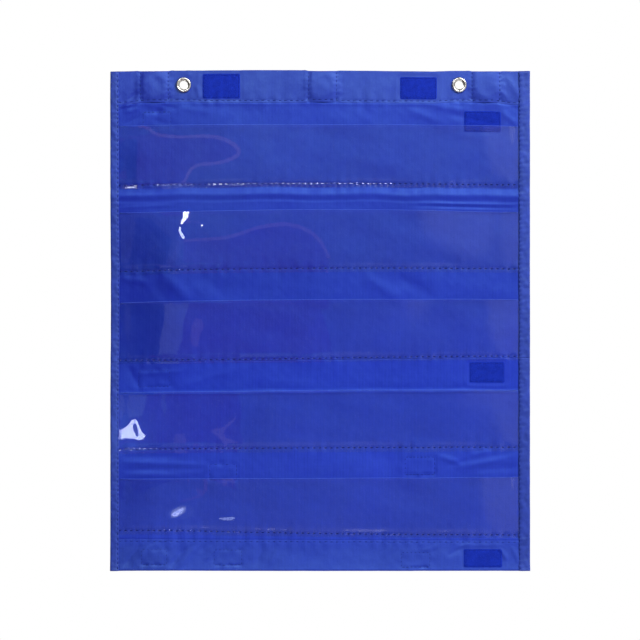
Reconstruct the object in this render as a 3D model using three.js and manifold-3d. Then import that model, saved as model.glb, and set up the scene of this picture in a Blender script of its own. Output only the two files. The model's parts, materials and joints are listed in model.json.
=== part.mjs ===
// Hanging cloth pocket chart: a thin woven nylon backing with five clear vinyl
// pockets, a folded hem and two metal eyelets at the top, bound side edges,
// disc magnets sewn into the hems and hook-and-loop tape patches for joining
// one chart to the next.
//
// Millimetres, +Z up. The chart hangs in the XZ plane. Its front, with the
// pockets, looks along -Y and its back along +Y. X and Z below are chart
// coordinates: X from the chart's centre line, Z from its top edge downwards
// (negative). The whole chart is then shifted so that the origin is midway
// between the two eyelets, on the front face of the backing cloth.

import * as THREE from 'three';
import * as BufferGeometryUtils from 'three/addons/utils/BufferGeometryUtils.js';
import Module from 'manifold-3d';

const wasm = await Module();
wasm.setup();

// ---------------------------------------------------------------- dimensions

const WIDTH = 356;                 // over the bound edges
const HEIGHT = 423.3;              // top fold to bottom fold
const LEFT = -WIDTH / 2;
const RIGHT = WIDTH / 2;

const CLOTH = 0.5;                 // one layer of cloth, with its coating
const VINYL = 0.5;                 // clear pocket sheet

// Bound edges: a folded tape round each long edge of the backing
const BINDING_LEFT_INNER = -170.9;
const BINDING_RIGHT_INNER = 168.6;
const BINDING_SKIN = 0.5;

// Hems: the cloth folded to the front and stitched down
const TOP_HEM_EDGE = -26;
const TOP_HEM_SEAM = -24;
const BOTTOM_HEM_EDGE = -397.6;
const BOTTOM_HEM_SEAM = -399.1;

// Storage creases, where the chart folds in three like a letter Z
const CREASE_UPPER = -108.5;
const CREASE_LOWER = -270.6;
const CREASE_GAP = 0.3;

// Pockets: [mouth, seam, lower edge of the vinyl]
const POCKETS = [
  [-46.2, -95.8, -99.3],
  [-118.7, -167.8, -171.3],
  [-194.5, -242.4, -245.9],
  [-271.2, -319.5, -323.3],
  [-345.0, -391.6, -394.6],
];
const POCKET_GAPE = 5.5;           // how far the slack mouth stands off the cloth
const POCKET_TUCK = 6;             // vinyl hidden under the side binding

// Eyelets
const EYELET_MIDDLE_X = 1.05;
const EYELET_SPREAD = 116.75;      // half the distance between the two
const EYELET_Z = -11.8;
const EYELET_BORE_R = 3.5;
const EYELET_BARREL_R = 4;
const EYELET_FLANGE_R = 6.5;
const EYELET_CLOTH_HOLE_R = 4.3;

// Disc magnets in the top hem and in the two lower pouches
const TOP_MAGNET_X = [-140.35, 2.05, 140.6];
const TOP_MAGNET_Z = -12.3;
const TOP_MAGNET_R = 9;
const TOP_MAGNET_FRONT = -1.25;
const TOP_MAGNET_BACK = 1.75;
const CHANNEL_HALF = 11.7;         // stitch lines on each side of a magnet
const LOW_MAGNET_R = 6;
const LOW_MAGNET_THICK = 1.25;
const MAGNET_ROOM = 0.3;

// Tape patches: [name, x0, x1, z1 (top), z0 (bottom)]
const LOOP_THICK = 1;
const HOOK_THICK = 1.25;
const LOOPS_ON_HEM = [
  ['loop_patch_top_left', -99.7, -67.8, -2.5, -22.5],
  ['loop_patch_top_right', 67.7, 98.9, -4.5, -22.5],
];
const LOOPS_ON_BACKING = [
  ['loop_patch_right_upper', 122, 153.3, -32.6, -51.4],
  ['loop_patch_right_middle', 126.6, 156.3, -247.5, -265],
];
const LOOP_ON_BOTTOM_HEM = ['loop_patch_right_bottom', 121.5, 154.2, -405, -420.5];
const HOOKS = [
  ['hook_patch_left_upper', -151, -125.5, -32.6, -49],
  ['hook_patch_left_middle', -155.2, -126.4, -251, -267.5],
  ['hook_patch_left_bottom', -152.3, -128.9, -405, -419.6],
  ['hook_patch_bottom_left', -90.8, -65.4, -405, -419.6],
  ['hook_patch_bottom_right', 67.7, 94, -406.8, -421.3],
];
const POUCHES = [
  ['magnet_pouch_lower_left', 'magnet_lower_left', -94.6, -69.6, -332.3, -347.5],
  ['magnet_pouch_lower_right', 'magnet_lower_right', 71.1, 98.2, -326.3, -343.3],
];

// Sewing thread, drawn as one slim bead along each seam
const THREAD = 0.5;
const THREAD_PROUD = 0.25;
const BINDING_SEAM_INSET = 1.2;

// ----------------------------------------------------------------- materials

const cloth = (color) => new THREE.MeshStandardMaterial({ color, roughness: 0.75, metalness: 0 });
const CLOTH_BLUE = 0x2d44be;
const HEM_BLUE = 0x374eb8;
const BINDING_BLUE = 0x3140a2;
const LOOP_BLUE = 0x1b33a9;
const HOOK_BLUE = 0x1f3a9c;
const THREAD_BLUE = 0x1b2a7a;

// ------------------------------------------------------------------- helpers

const chart = new THREE.Group();
chart.position.set(-EYELET_MIDDLE_X, 0, -EYELET_Z);

function add(name, geometry, material) {
  geometry.deleteAttribute('uv');
  geometry.deleteAttribute('normal');
  const welded = BufferGeometryUtils.mergeVertices(geometry, 1e-4);
  welded.computeVertexNormals();
  const mesh = new THREE.Mesh(welded, material);
  mesh.name = name;
  chart.add(mesh);
  return mesh;
}

function slab(x0, x1, y0, y1, z0, z1) {
  const g = new THREE.BoxGeometry(x1 - x0, y1 - y0, z1 - z0);
  g.translate((x0 + x1) / 2, (y0 + y1) / 2, (z0 + z1) / 2);
  return g;
}

// A flat plate with the outline of shape in XZ, from y0 to y1
function plate(shape, y0, y1, curveSegments = 3) {
  const g = new THREE.ExtrudeGeometry(shape, { depth: y1 - y0, bevelEnabled: false, curveSegments });
  g.rotateX(Math.PI / 2);
  g.translate(0, y1, 0);
  return g;
}

function roundedRect(x0, x1, z0, z1, r) {
  const s = new THREE.Shape();
  s.moveTo(x0 + r, z0);
  s.lineTo(x1 - r, z0);
  s.quadraticCurveTo(x1, z0, x1, z0 + r);
  s.lineTo(x1, z1 - r);
  s.quadraticCurveTo(x1, z1, x1 - r, z1);
  s.lineTo(x0 + r, z1);
  s.quadraticCurveTo(x0, z1, x0, z1 - r);
  s.lineTo(x0, z0 + r);
  s.quadraticCurveTo(x0, z0, x0 + r, z0);
  return s;
}

function polygon(points) {
  return new THREE.Shape(points.map(([x, y]) => new THREE.Vector2(x, y)));
}

// A disc or cone frustum along Y, from y0 (radius r0) to y1 (radius r1)
function disc(x, z, r0, r1, y0, y1, sides = 24) {
  const g = new THREE.CylinderGeometry(r1, r0, y1 - y0, sides);
  g.translate(x, (y0 + y1) / 2, z);
  return g;
}

function solid(geometry) {
  const g = geometry.clone();
  g.deleteAttribute('uv');
  g.deleteAttribute('normal');
  const m = BufferGeometryUtils.mergeVertices(g, 1e-5);
  return new wasm.Manifold(new wasm.Mesh({
    numProp: 3,
    vertProperties: new Float32Array(m.attributes.position.array),
    triVerts: new Uint32Array(m.index.array),
  }));
}

function geometryOf(manifold) {
  const mesh = manifold.getMesh();
  const g = new THREE.BufferGeometry();
  g.setAttribute('position', new THREE.BufferAttribute(new Float32Array(mesh.vertProperties), 3));
  g.setIndex(new THREE.BufferAttribute(new Uint32Array(mesh.triVerts), 1));
  return g;
}

// ------------------------------------------------------------------- backing

const BACK = CLOTH;                                  // back face of the cloth, in Y
const eyeletXs = [EYELET_MIDDLE_X - EYELET_SPREAD, EYELET_MIDDLE_X + EYELET_SPREAD];
const clothLeft = LEFT + BINDING_SKIN;
const clothRight = RIGHT - BINDING_SKIN;

// Top third: holes for the eyelets, and a low round bump on the back over each
// of the three magnets, open to the front where the magnet lies in it
let topCloth = solid(slab(clothLeft, clothRight, 0, BACK, CREASE_UPPER + CREASE_GAP / 2, 0));
for (const x of TOP_MAGNET_X) {
  topCloth = topCloth.add(solid(disc(x, TOP_MAGNET_Z, TOP_MAGNET_R + 2.2, TOP_MAGNET_R + 0.8, BACK / 2, TOP_MAGNET_BACK + CLOTH)));
}
for (const x of TOP_MAGNET_X) {
  topCloth = topCloth.subtract(solid(disc(x, TOP_MAGNET_Z, TOP_MAGNET_R + MAGNET_ROOM, TOP_MAGNET_R + MAGNET_ROOM, -1, TOP_MAGNET_BACK)));
}
for (const x of eyeletXs) {
  topCloth = topCloth.subtract(solid(disc(x, EYELET_Z, EYELET_CLOTH_HOLE_R, EYELET_CLOTH_HOLE_R, -1, 2, 24)));
}
add('backing_cloth_top', geometryOf(topCloth), cloth(CLOTH_BLUE));
add('backing_cloth_middle', slab(clothLeft, clothRight, 0, BACK, CREASE_LOWER + CREASE_GAP / 2, CREASE_UPPER - CREASE_GAP / 2), cloth(CLOTH_BLUE));
add('backing_cloth_bottom', slab(clothLeft, clothRight, 0, BACK, -HEIGHT, CREASE_LOWER - CREASE_GAP / 2), cloth(CLOTH_BLUE));

// ---------------------------------------------------------------------- hems

// The folded layer in front of the backing. At each magnet it bulges forward
// and is open at the back, so the disc lies between the two layers.
let hem = solid(slab(clothLeft + 0.5, clothRight - 0.5, -CLOTH, 0, TOP_HEM_EDGE, 0));
for (const x of TOP_MAGNET_X) {
  hem = hem.add(solid(disc(x, TOP_MAGNET_Z, TOP_MAGNET_R + 0.8, TOP_MAGNET_R + 2.2, TOP_MAGNET_FRONT - CLOTH, -CLOTH / 2)));
}
for (const x of TOP_MAGNET_X) {
  hem = hem.subtract(solid(disc(x, TOP_MAGNET_Z, TOP_MAGNET_R + MAGNET_ROOM, TOP_MAGNET_R + MAGNET_ROOM, TOP_MAGNET_FRONT, 1)));
}
for (const x of eyeletXs) {
  hem = hem.subtract(solid(disc(x, EYELET_Z, EYELET_CLOTH_HOLE_R, EYELET_CLOTH_HOLE_R, -2, 1, 24)));
}
add('top_hem', geometryOf(hem), cloth(HEM_BLUE));
add('bottom_hem', slab(clothLeft + 0.5, clothRight - 0.5, -CLOTH, 0, -HEIGHT, BOTTOM_HEM_EDGE), cloth(HEM_BLUE));

// ------------------------------------------------------------- edge bindings

// U-shaped tape: front leg, outer web, back leg. The slot between the legs
// holds the backing, and the side margins of the hems and pockets.
function binding(name, side, z0, z1) {
  const outer = side < 0 ? LEFT : RIGHT;
  const web = outer - side * BINDING_SKIN;
  const inner = side < 0 ? BINDING_LEFT_INNER : BINDING_RIGHT_INNER;
  const front = -CLOTH, frontSkin = -CLOTH - BINDING_SKIN;
  const back = CLOTH, backSkin = CLOTH + BINDING_SKIN;
  const g = new THREE.ExtrudeGeometry(polygon([
    [inner, frontSkin], [outer, frontSkin], [outer, backSkin], [inner, backSkin],
    [inner, back], [web, back], [web, front], [inner, front],
  ]), { depth: z1 - z0, bevelEnabled: false });
  g.translate(0, 0, z0);
  add(name, g, cloth(BINDING_BLUE));
  const seam = inner + side * BINDING_SEAM_INSET;
  add(name.replace('binding', 'thread_binding'),
    slab(seam - THREAD / 2, seam + THREAD / 2, frontSkin - THREAD_PROUD, frontSkin, z0 + 1, z1 - 1),
    cloth(THREAD_BLUE));
}

for (const [side, word] of [[-1, 'left'], [1, 'right']]) {
  binding(`binding_${word}_top`, side, CREASE_UPPER + CREASE_GAP / 2, 0);
  binding(`binding_${word}_middle`, side, CREASE_LOWER + CREASE_GAP / 2, CREASE_UPPER - CREASE_GAP / 2);
  binding(`binding_${word}_bottom`, side, -HEIGHT, CREASE_LOWER - CREASE_GAP / 2);
}

// ------------------------------------------------------------------- pockets

// Each pocket is one clear sheet, flat where it is sewn down at the foot and
// under the side bindings, and standing off the cloth in a shallow arch at
// its open top edge.
const POCKET_NX = 20;
const POCKET_NZ = 6;
const pocketX = [LEFT + BINDING_SKIN + 0.6];
for (let i = 0; i <= POCKET_NX - 2; i++) {
  const v = -Math.cos((Math.PI * i) / (POCKET_NX - 2));      // closer together at the sides
  const u = 0.45 * v + 0.55 * ((2 * i) / (POCKET_NX - 2) - 1);
  pocketX.push((BINDING_LEFT_INNER + BINDING_RIGHT_INNER) / 2 + u * (BINDING_RIGHT_INNER - BINDING_LEFT_INNER) / 2);
}
pocketX.push(RIGHT - BINDING_SKIN - 0.6);

function gape(x, t) {
  const mid = (BINDING_LEFT_INNER + BINDING_RIGHT_INNER) / 2;
  const half = (BINDING_RIGHT_INNER - BINDING_LEFT_INNER) / 2;
  const u = Math.min(1, Math.abs((x - mid) / half));
  const v = Math.min(1, Math.max(0, t));
  const g = POCKET_GAPE * (1 - u ** 6) * (1 - v ** 2);
  return g < 1e-6 ? 0 : g;
}

POCKETS.forEach(([mouth, seam, edge], n) => {
  const zs = [edge];
  for (let k = 0; k < POCKET_NZ; k++) zs.push(seam + ((mouth - seam) * k) / (POCKET_NZ - 1));
  const g = new THREE.BoxGeometry(POCKET_NX, VINYL, zs.length - 1, POCKET_NX, 1, zs.length - 1);
  const p = g.attributes.position;
  for (let i = 0; i < p.count; i++) {
    const x = pocketX[Math.round(p.getX(i) + POCKET_NX / 2)];
    const z = zs[Math.round(p.getZ(i) + (zs.length - 1) / 2)];
    const t = (mouth - z) / (mouth - seam);
    p.setXYZ(i, x, p.getY(i) - VINYL / 2 - gape(x, t), z);
  }
  add(`pocket_${n + 1}`, g, new THREE.MeshStandardMaterial({
    color: 0xaab4dd, roughness: 0.12, metalness: 0, transparent: true, opacity: 0.3,
  }));
  add(`thread_pocket_${n + 1}`,
    slab(BINDING_LEFT_INNER + 0.6, BINDING_RIGHT_INNER - 0.6, -VINYL - THREAD_PROUD, -VINYL, seam - THREAD - 0.3, seam - 0.3),
    cloth(THREAD_BLUE));
});

// ------------------------------------------------------------------- eyelets

const metal = () => new THREE.MeshStandardMaterial({ color: 0xc9c7bf, roughness: 0.28, metalness: 1 });

eyeletXs.forEach((x, n) => {
  const word = n === 0 ? 'left' : 'right';
  const front = -CLOTH;
  const washerBack = BACK + 0.75;
  const profile = [
    [EYELET_BORE_R, front - 0.7], [EYELET_BORE_R, washerBack + 0.15],
    [EYELET_BORE_R + 0.3, washerBack + 0.5], [EYELET_BARREL_R + 0.6, washerBack + 0.5],
    [EYELET_BARREL_R + 1.1, washerBack + 0.25], [EYELET_BARREL_R + 1, washerBack],
    [EYELET_BARREL_R, washerBack], [EYELET_BARREL_R, front],
    [EYELET_FLANGE_R, front], [EYELET_FLANGE_R, front - 0.4],
    [EYELET_FLANGE_R - 0.5, front - 1.05], [EYELET_FLANGE_R - 1.6, front - 1.4],
    [EYELET_BORE_R + 0.45, front - 1.2], [EYELET_BORE_R, front - 0.7],
  ].reverse().map(([r, y]) => new THREE.Vector2(r, y));
  const g = new THREE.LatheGeometry(profile, 24);
  g.translate(x, 0, EYELET_Z);
  add(`eyelet_${word}`, g, metal());

  const ring = [
    [EYELET_CLOTH_HOLE_R, BACK], [EYELET_FLANGE_R, BACK], [EYELET_FLANGE_R, washerBack - 0.25],
    [EYELET_FLANGE_R - 0.35, washerBack], [EYELET_CLOTH_HOLE_R, washerBack], [EYELET_CLOTH_HOLE_R, BACK],
  ].map(([r, y]) => new THREE.Vector2(r, y));
  const w = new THREE.LatheGeometry(ring, 24);
  w.translate(x, 0, EYELET_Z);
  add(`eyelet_washer_${word}`, w, metal());
});

// ------------------------------------------------------------------- magnets

const ferrite = () => new THREE.MeshStandardMaterial({ color: 0x3a3a3c, roughness: 0.6, metalness: 0.4 });

['left', 'centre', 'right'].forEach((word, n) => {
  add(`magnet_top_${word}`,
    disc(TOP_MAGNET_X[n], TOP_MAGNET_Z, TOP_MAGNET_R, TOP_MAGNET_R, TOP_MAGNET_FRONT, TOP_MAGNET_BACK), ferrite());
});

// Each lower pouch is a small cloth patch on the back, bulged over its disc
for (const [pouch, magnet, x0, x1, z1, z0] of POUCHES) {
  const x = (x0 + x1) / 2, z = (z0 + z1) / 2;
  let p = solid(plate(roundedRect(x0, x1, z0, z1, 0.8), BACK, BACK + CLOTH));
  p = p.add(solid(disc(x, z, LOW_MAGNET_R + 1.4, LOW_MAGNET_R + 0.8, BACK + CLOTH / 2, BACK + LOW_MAGNET_THICK + CLOTH)));
  p = p.subtract(solid(disc(x, z, LOW_MAGNET_R + MAGNET_ROOM, LOW_MAGNET_R + MAGNET_ROOM, BACK - 1, BACK + LOW_MAGNET_THICK)));
  add(pouch, geometryOf(p), cloth(CLOTH_BLUE));
  add(magnet, disc(x, z, LOW_MAGNET_R, LOW_MAGNET_R, BACK, BACK + LOW_MAGNET_THICK), ferrite());
}

// -------------------------------------------------------------- tape patches

for (const [name, x0, x1, z1, z0] of LOOPS_ON_HEM) {
  add(name, plate(roundedRect(x0, x1, z0, z1, 1.6), -CLOTH - LOOP_THICK, -CLOTH), cloth(LOOP_BLUE));
}
for (const [name, x0, x1, z1, z0] of LOOPS_ON_BACKING) {
  add(name, plate(roundedRect(x0, x1, z0, z1, 1.6), -LOOP_THICK, 0), cloth(LOOP_BLUE));
}
{
  const [name, x0, x1, z1, z0] = LOOP_ON_BOTTOM_HEM;
  add(name, plate(roundedRect(x0, x1, z0, z1, 1.6), -CLOTH - LOOP_THICK, -CLOTH), cloth(LOOP_BLUE));
}
for (const [name, x0, x1, z1, z0] of HOOKS) {
  add(name, plate(roundedRect(x0, x1, z0, z1, 1.2), BACK, BACK + HOOK_THICK), cloth(HOOK_BLUE));
}

// ----------------------------------------------------------- hem stitch lines

// The top hem's seam, with the pairs of upright lines that close the magnet
// channels, is one run of thread; the bottom hem has a plain seam.
{
  const x0 = BINDING_LEFT_INNER + 0.6, x1 = BINDING_RIGHT_INNER - 0.6;
  const low = TOP_HEM_SEAM - THREAD / 2, high = TOP_HEM_SEAM + THREAD / 2, top = -1.2;
  const outline = [[x0, low], [x1, low], [x1, high]];
  for (const x of [...TOP_MAGNET_X].reverse()) {
    for (const line of [x + CHANNEL_HALF, x - CHANNEL_HALF]) {
      outline.push([line + THREAD / 2, high], [line + THREAD / 2, top], [line - THREAD / 2, top], [line - THREAD / 2, high]);
    }
  }
  outline.push([x0, high]);
  add('thread_top_hem', plate(polygon(outline), -CLOTH - THREAD_PROUD, -CLOTH), cloth(THREAD_BLUE));
  add('thread_bottom_hem',
    slab(x0, x1, -CLOTH - THREAD_PROUD, -CLOTH, BOTTOM_HEM_SEAM - THREAD / 2, BOTTOM_HEM_SEAM + THREAD / 2),
    cloth(THREAD_BLUE));
}

export default chart;
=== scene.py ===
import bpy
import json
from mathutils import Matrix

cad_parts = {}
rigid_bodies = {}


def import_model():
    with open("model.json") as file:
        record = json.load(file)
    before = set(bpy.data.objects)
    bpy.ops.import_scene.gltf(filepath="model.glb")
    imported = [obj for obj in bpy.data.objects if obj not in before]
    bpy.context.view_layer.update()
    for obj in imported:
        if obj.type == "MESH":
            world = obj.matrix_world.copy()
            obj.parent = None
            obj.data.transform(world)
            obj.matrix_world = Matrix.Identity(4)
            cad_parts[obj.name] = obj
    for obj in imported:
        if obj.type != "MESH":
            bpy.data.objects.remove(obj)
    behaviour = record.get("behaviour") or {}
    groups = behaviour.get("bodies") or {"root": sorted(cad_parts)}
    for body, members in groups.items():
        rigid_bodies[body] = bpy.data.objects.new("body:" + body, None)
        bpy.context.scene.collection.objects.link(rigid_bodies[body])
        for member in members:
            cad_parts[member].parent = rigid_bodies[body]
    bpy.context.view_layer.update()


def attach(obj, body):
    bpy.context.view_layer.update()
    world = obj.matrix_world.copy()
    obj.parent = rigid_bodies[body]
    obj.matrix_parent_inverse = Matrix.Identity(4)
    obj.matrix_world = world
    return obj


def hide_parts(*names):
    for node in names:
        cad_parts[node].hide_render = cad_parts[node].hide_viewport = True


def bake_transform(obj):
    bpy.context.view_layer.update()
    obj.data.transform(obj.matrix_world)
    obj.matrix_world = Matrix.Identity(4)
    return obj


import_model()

import json
import math

import bpy
import numpy as np

# The drawing below is in chart millimetres: x from the centre line, y towards the wall, z from the top edge,
# negative downwards. row() turns them into the row frame's metres.
SHIFT = np.array([-1.05, 0.0, 11.8])


def row(p):
    return (np.asarray(p, float) + SHIFT) / 1000.0


def row_point(x, y, z):
    return tuple(float(c) for c in row((x, y, z)))


def across(px):
    """Chart x of a place counted across the picture."""
    return (px - 320.05) * 0.8476


def down(py):
    """Chart z of a place counted down the picture."""
    return -(py - 71.0) * 0.8476


def smooth(a, b, v):
    t = np.clip((np.asarray(v, float) - a) / (b - a), 0, 1)
    return t * t * (3 - 2 * t)


def waves(seed, scale, count=9, stretch=(1.0, 1.0)):
    """A smooth field of about -1 to 1 with bumps of about this size in mm, the same on each run."""
    r = np.random.RandomState(seed)
    a = r.uniform(0, math.pi, count)
    k = 2 * math.pi / (scale * r.uniform(0.65, 1.7, count))
    p = r.uniform(0, 2 * math.pi, count)
    kx, kz = k * np.cos(a) / stretch[0], k * np.sin(a) / stretch[1]

    def f(x, z):
        s = 0.0
        for i in range(count):
            s = s + np.sin(kx[i] * x + kz[i] * z + p[i])
        return s / math.sqrt(count / 2) / 1.6

    return f


# ---------------------------------------------------------------- sizes shared with the CAD
HALF, HIGH = 178.0, 423.3
CREASE_UP, CREASE_LOW = -108.5, -270.6
TOP_SEAM, TOP_HEM, LOW_SEAM, LOW_HEM = -24.0, -26.0, -399.1, -397.6
POCKETS = [(-46.2, -95.8, -99.3), (-118.7, -167.8, -171.3), (-194.5, -242.4, -245.9), (-271.2, -319.5, -323.3), (-345.0, -391.6, -394.6)]
SPLIT = -244.2          # the cloth and the bindings are two pieces each, which meet here, under the third pocket's foot
BIND_L, BIND_R = -170.9, 168.6
EYELETS = [(1.05 - 116.75, -11.8), (1.05 + 116.75, -11.8)]
TOP_MAGNETS = [(-140.35, -12.3), (2.05, -12.3), (140.6, -12.3)]
POUCHES = {"left": (-94.6, -69.6, -347.5, -332.3), "right": (71.1, 98.2, -343.3, -326.3)}
LOW_MAGNETS = [((x0 + x1) / 2, (z0 + z1) / 2) for x0, x1, z0, z1 in POUCHES.values()]
LOOPS = {  # x0, x1, z0, z1, y of the cloth under it, body
    "top_left": (-99.7, -67.8, -22.5, -2.5, -0.5, "top_section"),
    "top_right": (67.7, 98.9, -22.5, -4.5, -0.5, "top_section"),
    "right_upper": (122.0, 153.3, -51.4, -32.6, 0.0, "top_section"),
    "right_middle": (126.6, 156.3, -265.0, -247.5, 0.0, "middle_section"),
    "right_bottom": (121.5, 154.2, -420.5, -405.0, -0.5, "bottom_section"),
}
HOOKS = {
    "left_upper": (-151.0, -125.5, -49.0, -32.6, "top_section"),
    "left_middle": (-155.2, -126.4, -267.5, -251.0, "middle_section"),
    "left_bottom": (-152.3, -128.9, -419.6, -405.0, "bottom_section"),
    "bottom_left": (-90.8, -65.4, -419.6, -405.0, "bottom_section"),
    "bottom_right": (67.7, 94.0, -421.3, -406.8, "bottom_section"),
}
PITCH = 4.85            # of the long seams' stitches
EDGE_PITCH = 3.9        # of the bindings' stitches

# ---------------------------------------------------------------- how the cloth hangs
# How far the sewn lines run up or down from straight, in mm, at seven places across and nine heights.
WARP_X = np.array([-176.0, -118.7, -61.1, 0.0, 61.0, 118.6, 176.0])
WARP = [
    (0.0, (-0.7, 0.1, 0.45, 0.3, -0.3, -0.8, -0.2)),
    (-26.0, (-2.7, -1.6, -0.5, -1.2, -1.5, -1.7, -3.1)),
    (-46.2, (-0.7, 0.0, 0.5, 0.45, 0.1, -0.1, -1.0)),
    (-95.8, (-1.0, -0.25, 0.5, 0.8, 0.4, 0.0, -0.35)),
    (-108.5, (-0.8, 0.2, 1.2, 0.8, 0.25, 0.0, -0.8)),
    (-118.7, (-1.6, -0.8, 0.6, 0.85, 0.7, -0.2, -1.2)),
    (-194.5, (-2.3, -0.8, 0.25, 0.75, 0.9, 1.0, 0.6)),
    (-242.4, (-2.8, -2.2, -1.8, -0.8, 0.1, 0.6, 0.9)),
    (-270.6, (-1.6, -0.8, 0.0, 0.5, 0.85, 1.1, 0.4)),
    (-345.0, (-1.1, -0.5, -0.15, 0.0, 0.35, 0.6, 0.8)),
    (-391.6, (2.1, 2.0, 0.8, -0.3, -0.9, -1.4, -1.6)),
    (-399.1, (0.5, 0.4, 0.2, 0.0, -0.1, -0.2, -0.2)),
    (-423.3, (-0.1, 0.15, 0.0, -0.05, 0.0, 0.05, 0.0)),
]
WARP_FITS = [np.polyfit(WARP_X / 176.0, w, 4) for _, w in WARP]
WARP_Z = np.array([z for z, _ in WARP])


def calm(x, z):
    """0 at what is clinched or sewn in, where the cloth lies as the CAD has it, and 1 away from it."""
    m = 1.0
    for cx, cz in EYELETS + TOP_MAGNETS + LOW_MAGNETS:
        m = m * smooth(11, 26, np.hypot(x - cx, z - cz))
    return m


def warp(x, z):
    x, z = np.broadcast_arrays(np.asarray(x, float), np.asarray(z, float))
    at = np.stack([np.polyval(c, x / 176.0) for c in WARP_FITS])
    i = np.clip(np.searchsorted(-WARP_Z, -z) - 1, 0, len(WARP_Z) - 2)
    z0, z1 = WARP_Z[i], WARP_Z[i + 1]
    t = np.clip((z - z0) / (z1 - z0), 0, 1)
    t = t * t * (3 - 2 * t)
    lo = np.take_along_axis(at, i[None], 0)[0]
    hi = np.take_along_axis(at, (i + 1)[None], 0)[0]
    return (lo * (1 - t) + hi * t) * (0.25 + 0.75 * calm(x, z))


BIG, MID, SMALL, FINE = waves(3, 150), waves(5, 62), waves(8, 26), waves(13, 11)
PUCK_A, PUCK_B = waves(21, 70), waves(22, 40)
TWIST = waves(25, 15)


WANDER = waves(31, 58)
STRONG = waves(32, 90)


def profile(d, at, to):
    """A smooth curve through these points: the cubic that keeps to its neighbours' mean slope."""
    at, to = np.asarray(at, float), np.asarray(to, float)
    m = np.gradient(to, at)
    m[0] = m[-1] = 0
    i = np.clip(np.searchsorted(at, d) - 1, 0, len(at) - 2)
    h = at[i + 1] - at[i]
    t = np.clip((d - at[i]) / h, 0, 1)
    return (2 * t**3 - 3 * t**2 + 1) * to[i] + (t**3 - 2 * t**2 + t) * h * m[i] + (3 * t**2 - 2 * t**3) * to[i + 1] + (t**3 - t**2) * h * m[i + 1]


def crease_up(x, z):
    d = z - CREASE_UP + 0.45 * WANDER(x, z * 0 + 3)
    return (1 + 0.22 * STRONG(x, z * 0)) * profile(d, [-12, -8, -5, -3.2, -1.7, -1.0, 0.5, 2.2, 3.2, 6.5, 9.6, 12.4], [0, -0.1, -0.2, -0.3, -0.19, -0.24, -0.52, -0.88, -0.95, -0.25, 0.40, 0.0])


def crease_low(x, z):
    d = z - CREASE_LOW + 0.25 * WANDER(x, z * 0 + 90)
    return (1 + 0.2 * STRONG(x, z * 0 + 50)) * profile(d, [-22, -12, -6, -3.6, -2.3, -1.5, 0.2, 1.2, 3, 6, 12, 26], [0, -0.03, -0.06, -0.14, -0.34, -0.27, 0.1, 0.16, 0.1, 0.02, 0.0, 0.0])


def line_gap(x, z, x0, z0, x1, z1):
    """Distance to a line, and the place along it from 0 to 1."""
    ax, az = x1 - x0, z1 - z0
    t = ((x - x0) * ax + (z - z0) * az) / (ax * ax + az * az)
    c = np.clip(t, 0, 1)
    return np.hypot(x - x0 - c * ax, z - z0 - c * az), t


# Folds that the photograph shows: two ends in picture places, height in mm (towards the eye is negative), half width.
FOLDS = [
    (163, 272, 193, 303, -0.5, 4.6), (150, 276, 168, 300, 0.3, 5.0), (120, 276, 150, 281, -0.35, 2.2), (196, 272, 232, 300, 0.25, 6.0),
    (362, 275, 404, 303, -0.4, 4.8), (395, 276, 436, 300, 0.35, 5.0),
    (120, 461, 206, 465, -0.45, 1.7), (122, 468.5, 203, 468, 0.4, 1.6), (124, 474, 196, 474.5, -0.4, 1.6), (121, 456, 180, 456, 0.35, 2.0), (160, 471, 206, 478, 0.2, 1.5),
    (438, 456, 462, 465, -0.5, 1.7), (456, 469, 516, 457, -0.5, 2.2), (474, 471, 517, 468, 0.45, 2.6), (444, 467, 470, 461, 0.3, 1.6), (470, 456, 492, 452, -0.3, 1.8), (486, 462, 516, 463, -0.25, 1.4),
    (420, 203.5, 516, 204, -0.28, 1.0), (410, 206.5, 515, 207, 0.22, 1.0), (432, 209, 517, 209.5, -0.22, 0.9), (120, 206, 176, 205, -0.22, 1.2), (120, 189, 190, 187, -0.25, 2.0),
    (132, 372, 182, 369, -0.35, 1.6), (128, 364, 140, 388, 0.4, 2.6), (160, 380, 172, 376, 0.35, 3.0), (180, 386, 240, 366, -0.2, 3.5),
    (405, 106, 446, 125, -0.3, 3.4), (430, 104, 472, 110, -0.35, 2.0), (445, 112, 500, 124, 0.3, 2.5), (500, 108, 517, 124, -0.35, 2.2), (350, 106, 372, 124, -0.2, 3.6),
    (124, 110, 140, 106, -0.45, 2.2), (124, 124, 142, 114, 0.3, 2.4), (150, 119, 175, 126, 0.25, 2.0), (176, 106, 214, 112, -0.2, 2.6),
    (120, 104, 142, 99, -0.5, 1.6), (126, 99, 138, 92, 0.35, 2.0), (160, 104, 178, 108, 0.35, 1.4), (142, 107, 172, 109.5, 0.45, 1.0),
    (196, 84, 200, 98, -0.4, 1.8), (192, 76, 186, 74, -0.25, 2.0), (470, 84, 474, 98, -0.25, 1.8), (505, 74, 524, 100, -0.4, 2.6), (497, 98, 520, 106, 0.35, 2.2), (508, 96, 497, 88, -0.3, 1.8),
    (124, 567, 140, 546, 0.45, 1.9), (132, 567, 149, 546, -0.4, 1.9), (150, 545, 158, 541, 0.35, 1.6), (170, 567, 186, 547, 0.65, 2.1), (178, 568, 196, 546, -0.5, 2.3), (200, 552, 212, 542, 0.4, 1.8),
    (206, 560, 218, 547, -0.35, 1.8), (157, 566, 168, 552, -0.3, 2.2), (256, 566, 264, 545, 0.4, 2.6), (270, 566, 277, 548, -0.25, 2.4), (312, 562, 330, 545, 0.18, 3.0), (382, 558, 395, 545, -0.2, 2.6),
    (448, 556, 462, 546, 0.35, 2.0), (456, 548, 470, 543, -0.3, 1.5), (500, 548, 507, 560, -0.4, 1.5), (512, 546, 520, 566, -0.3, 1.6), (420, 552, 440, 545, -0.25, 2.0),
]


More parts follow.
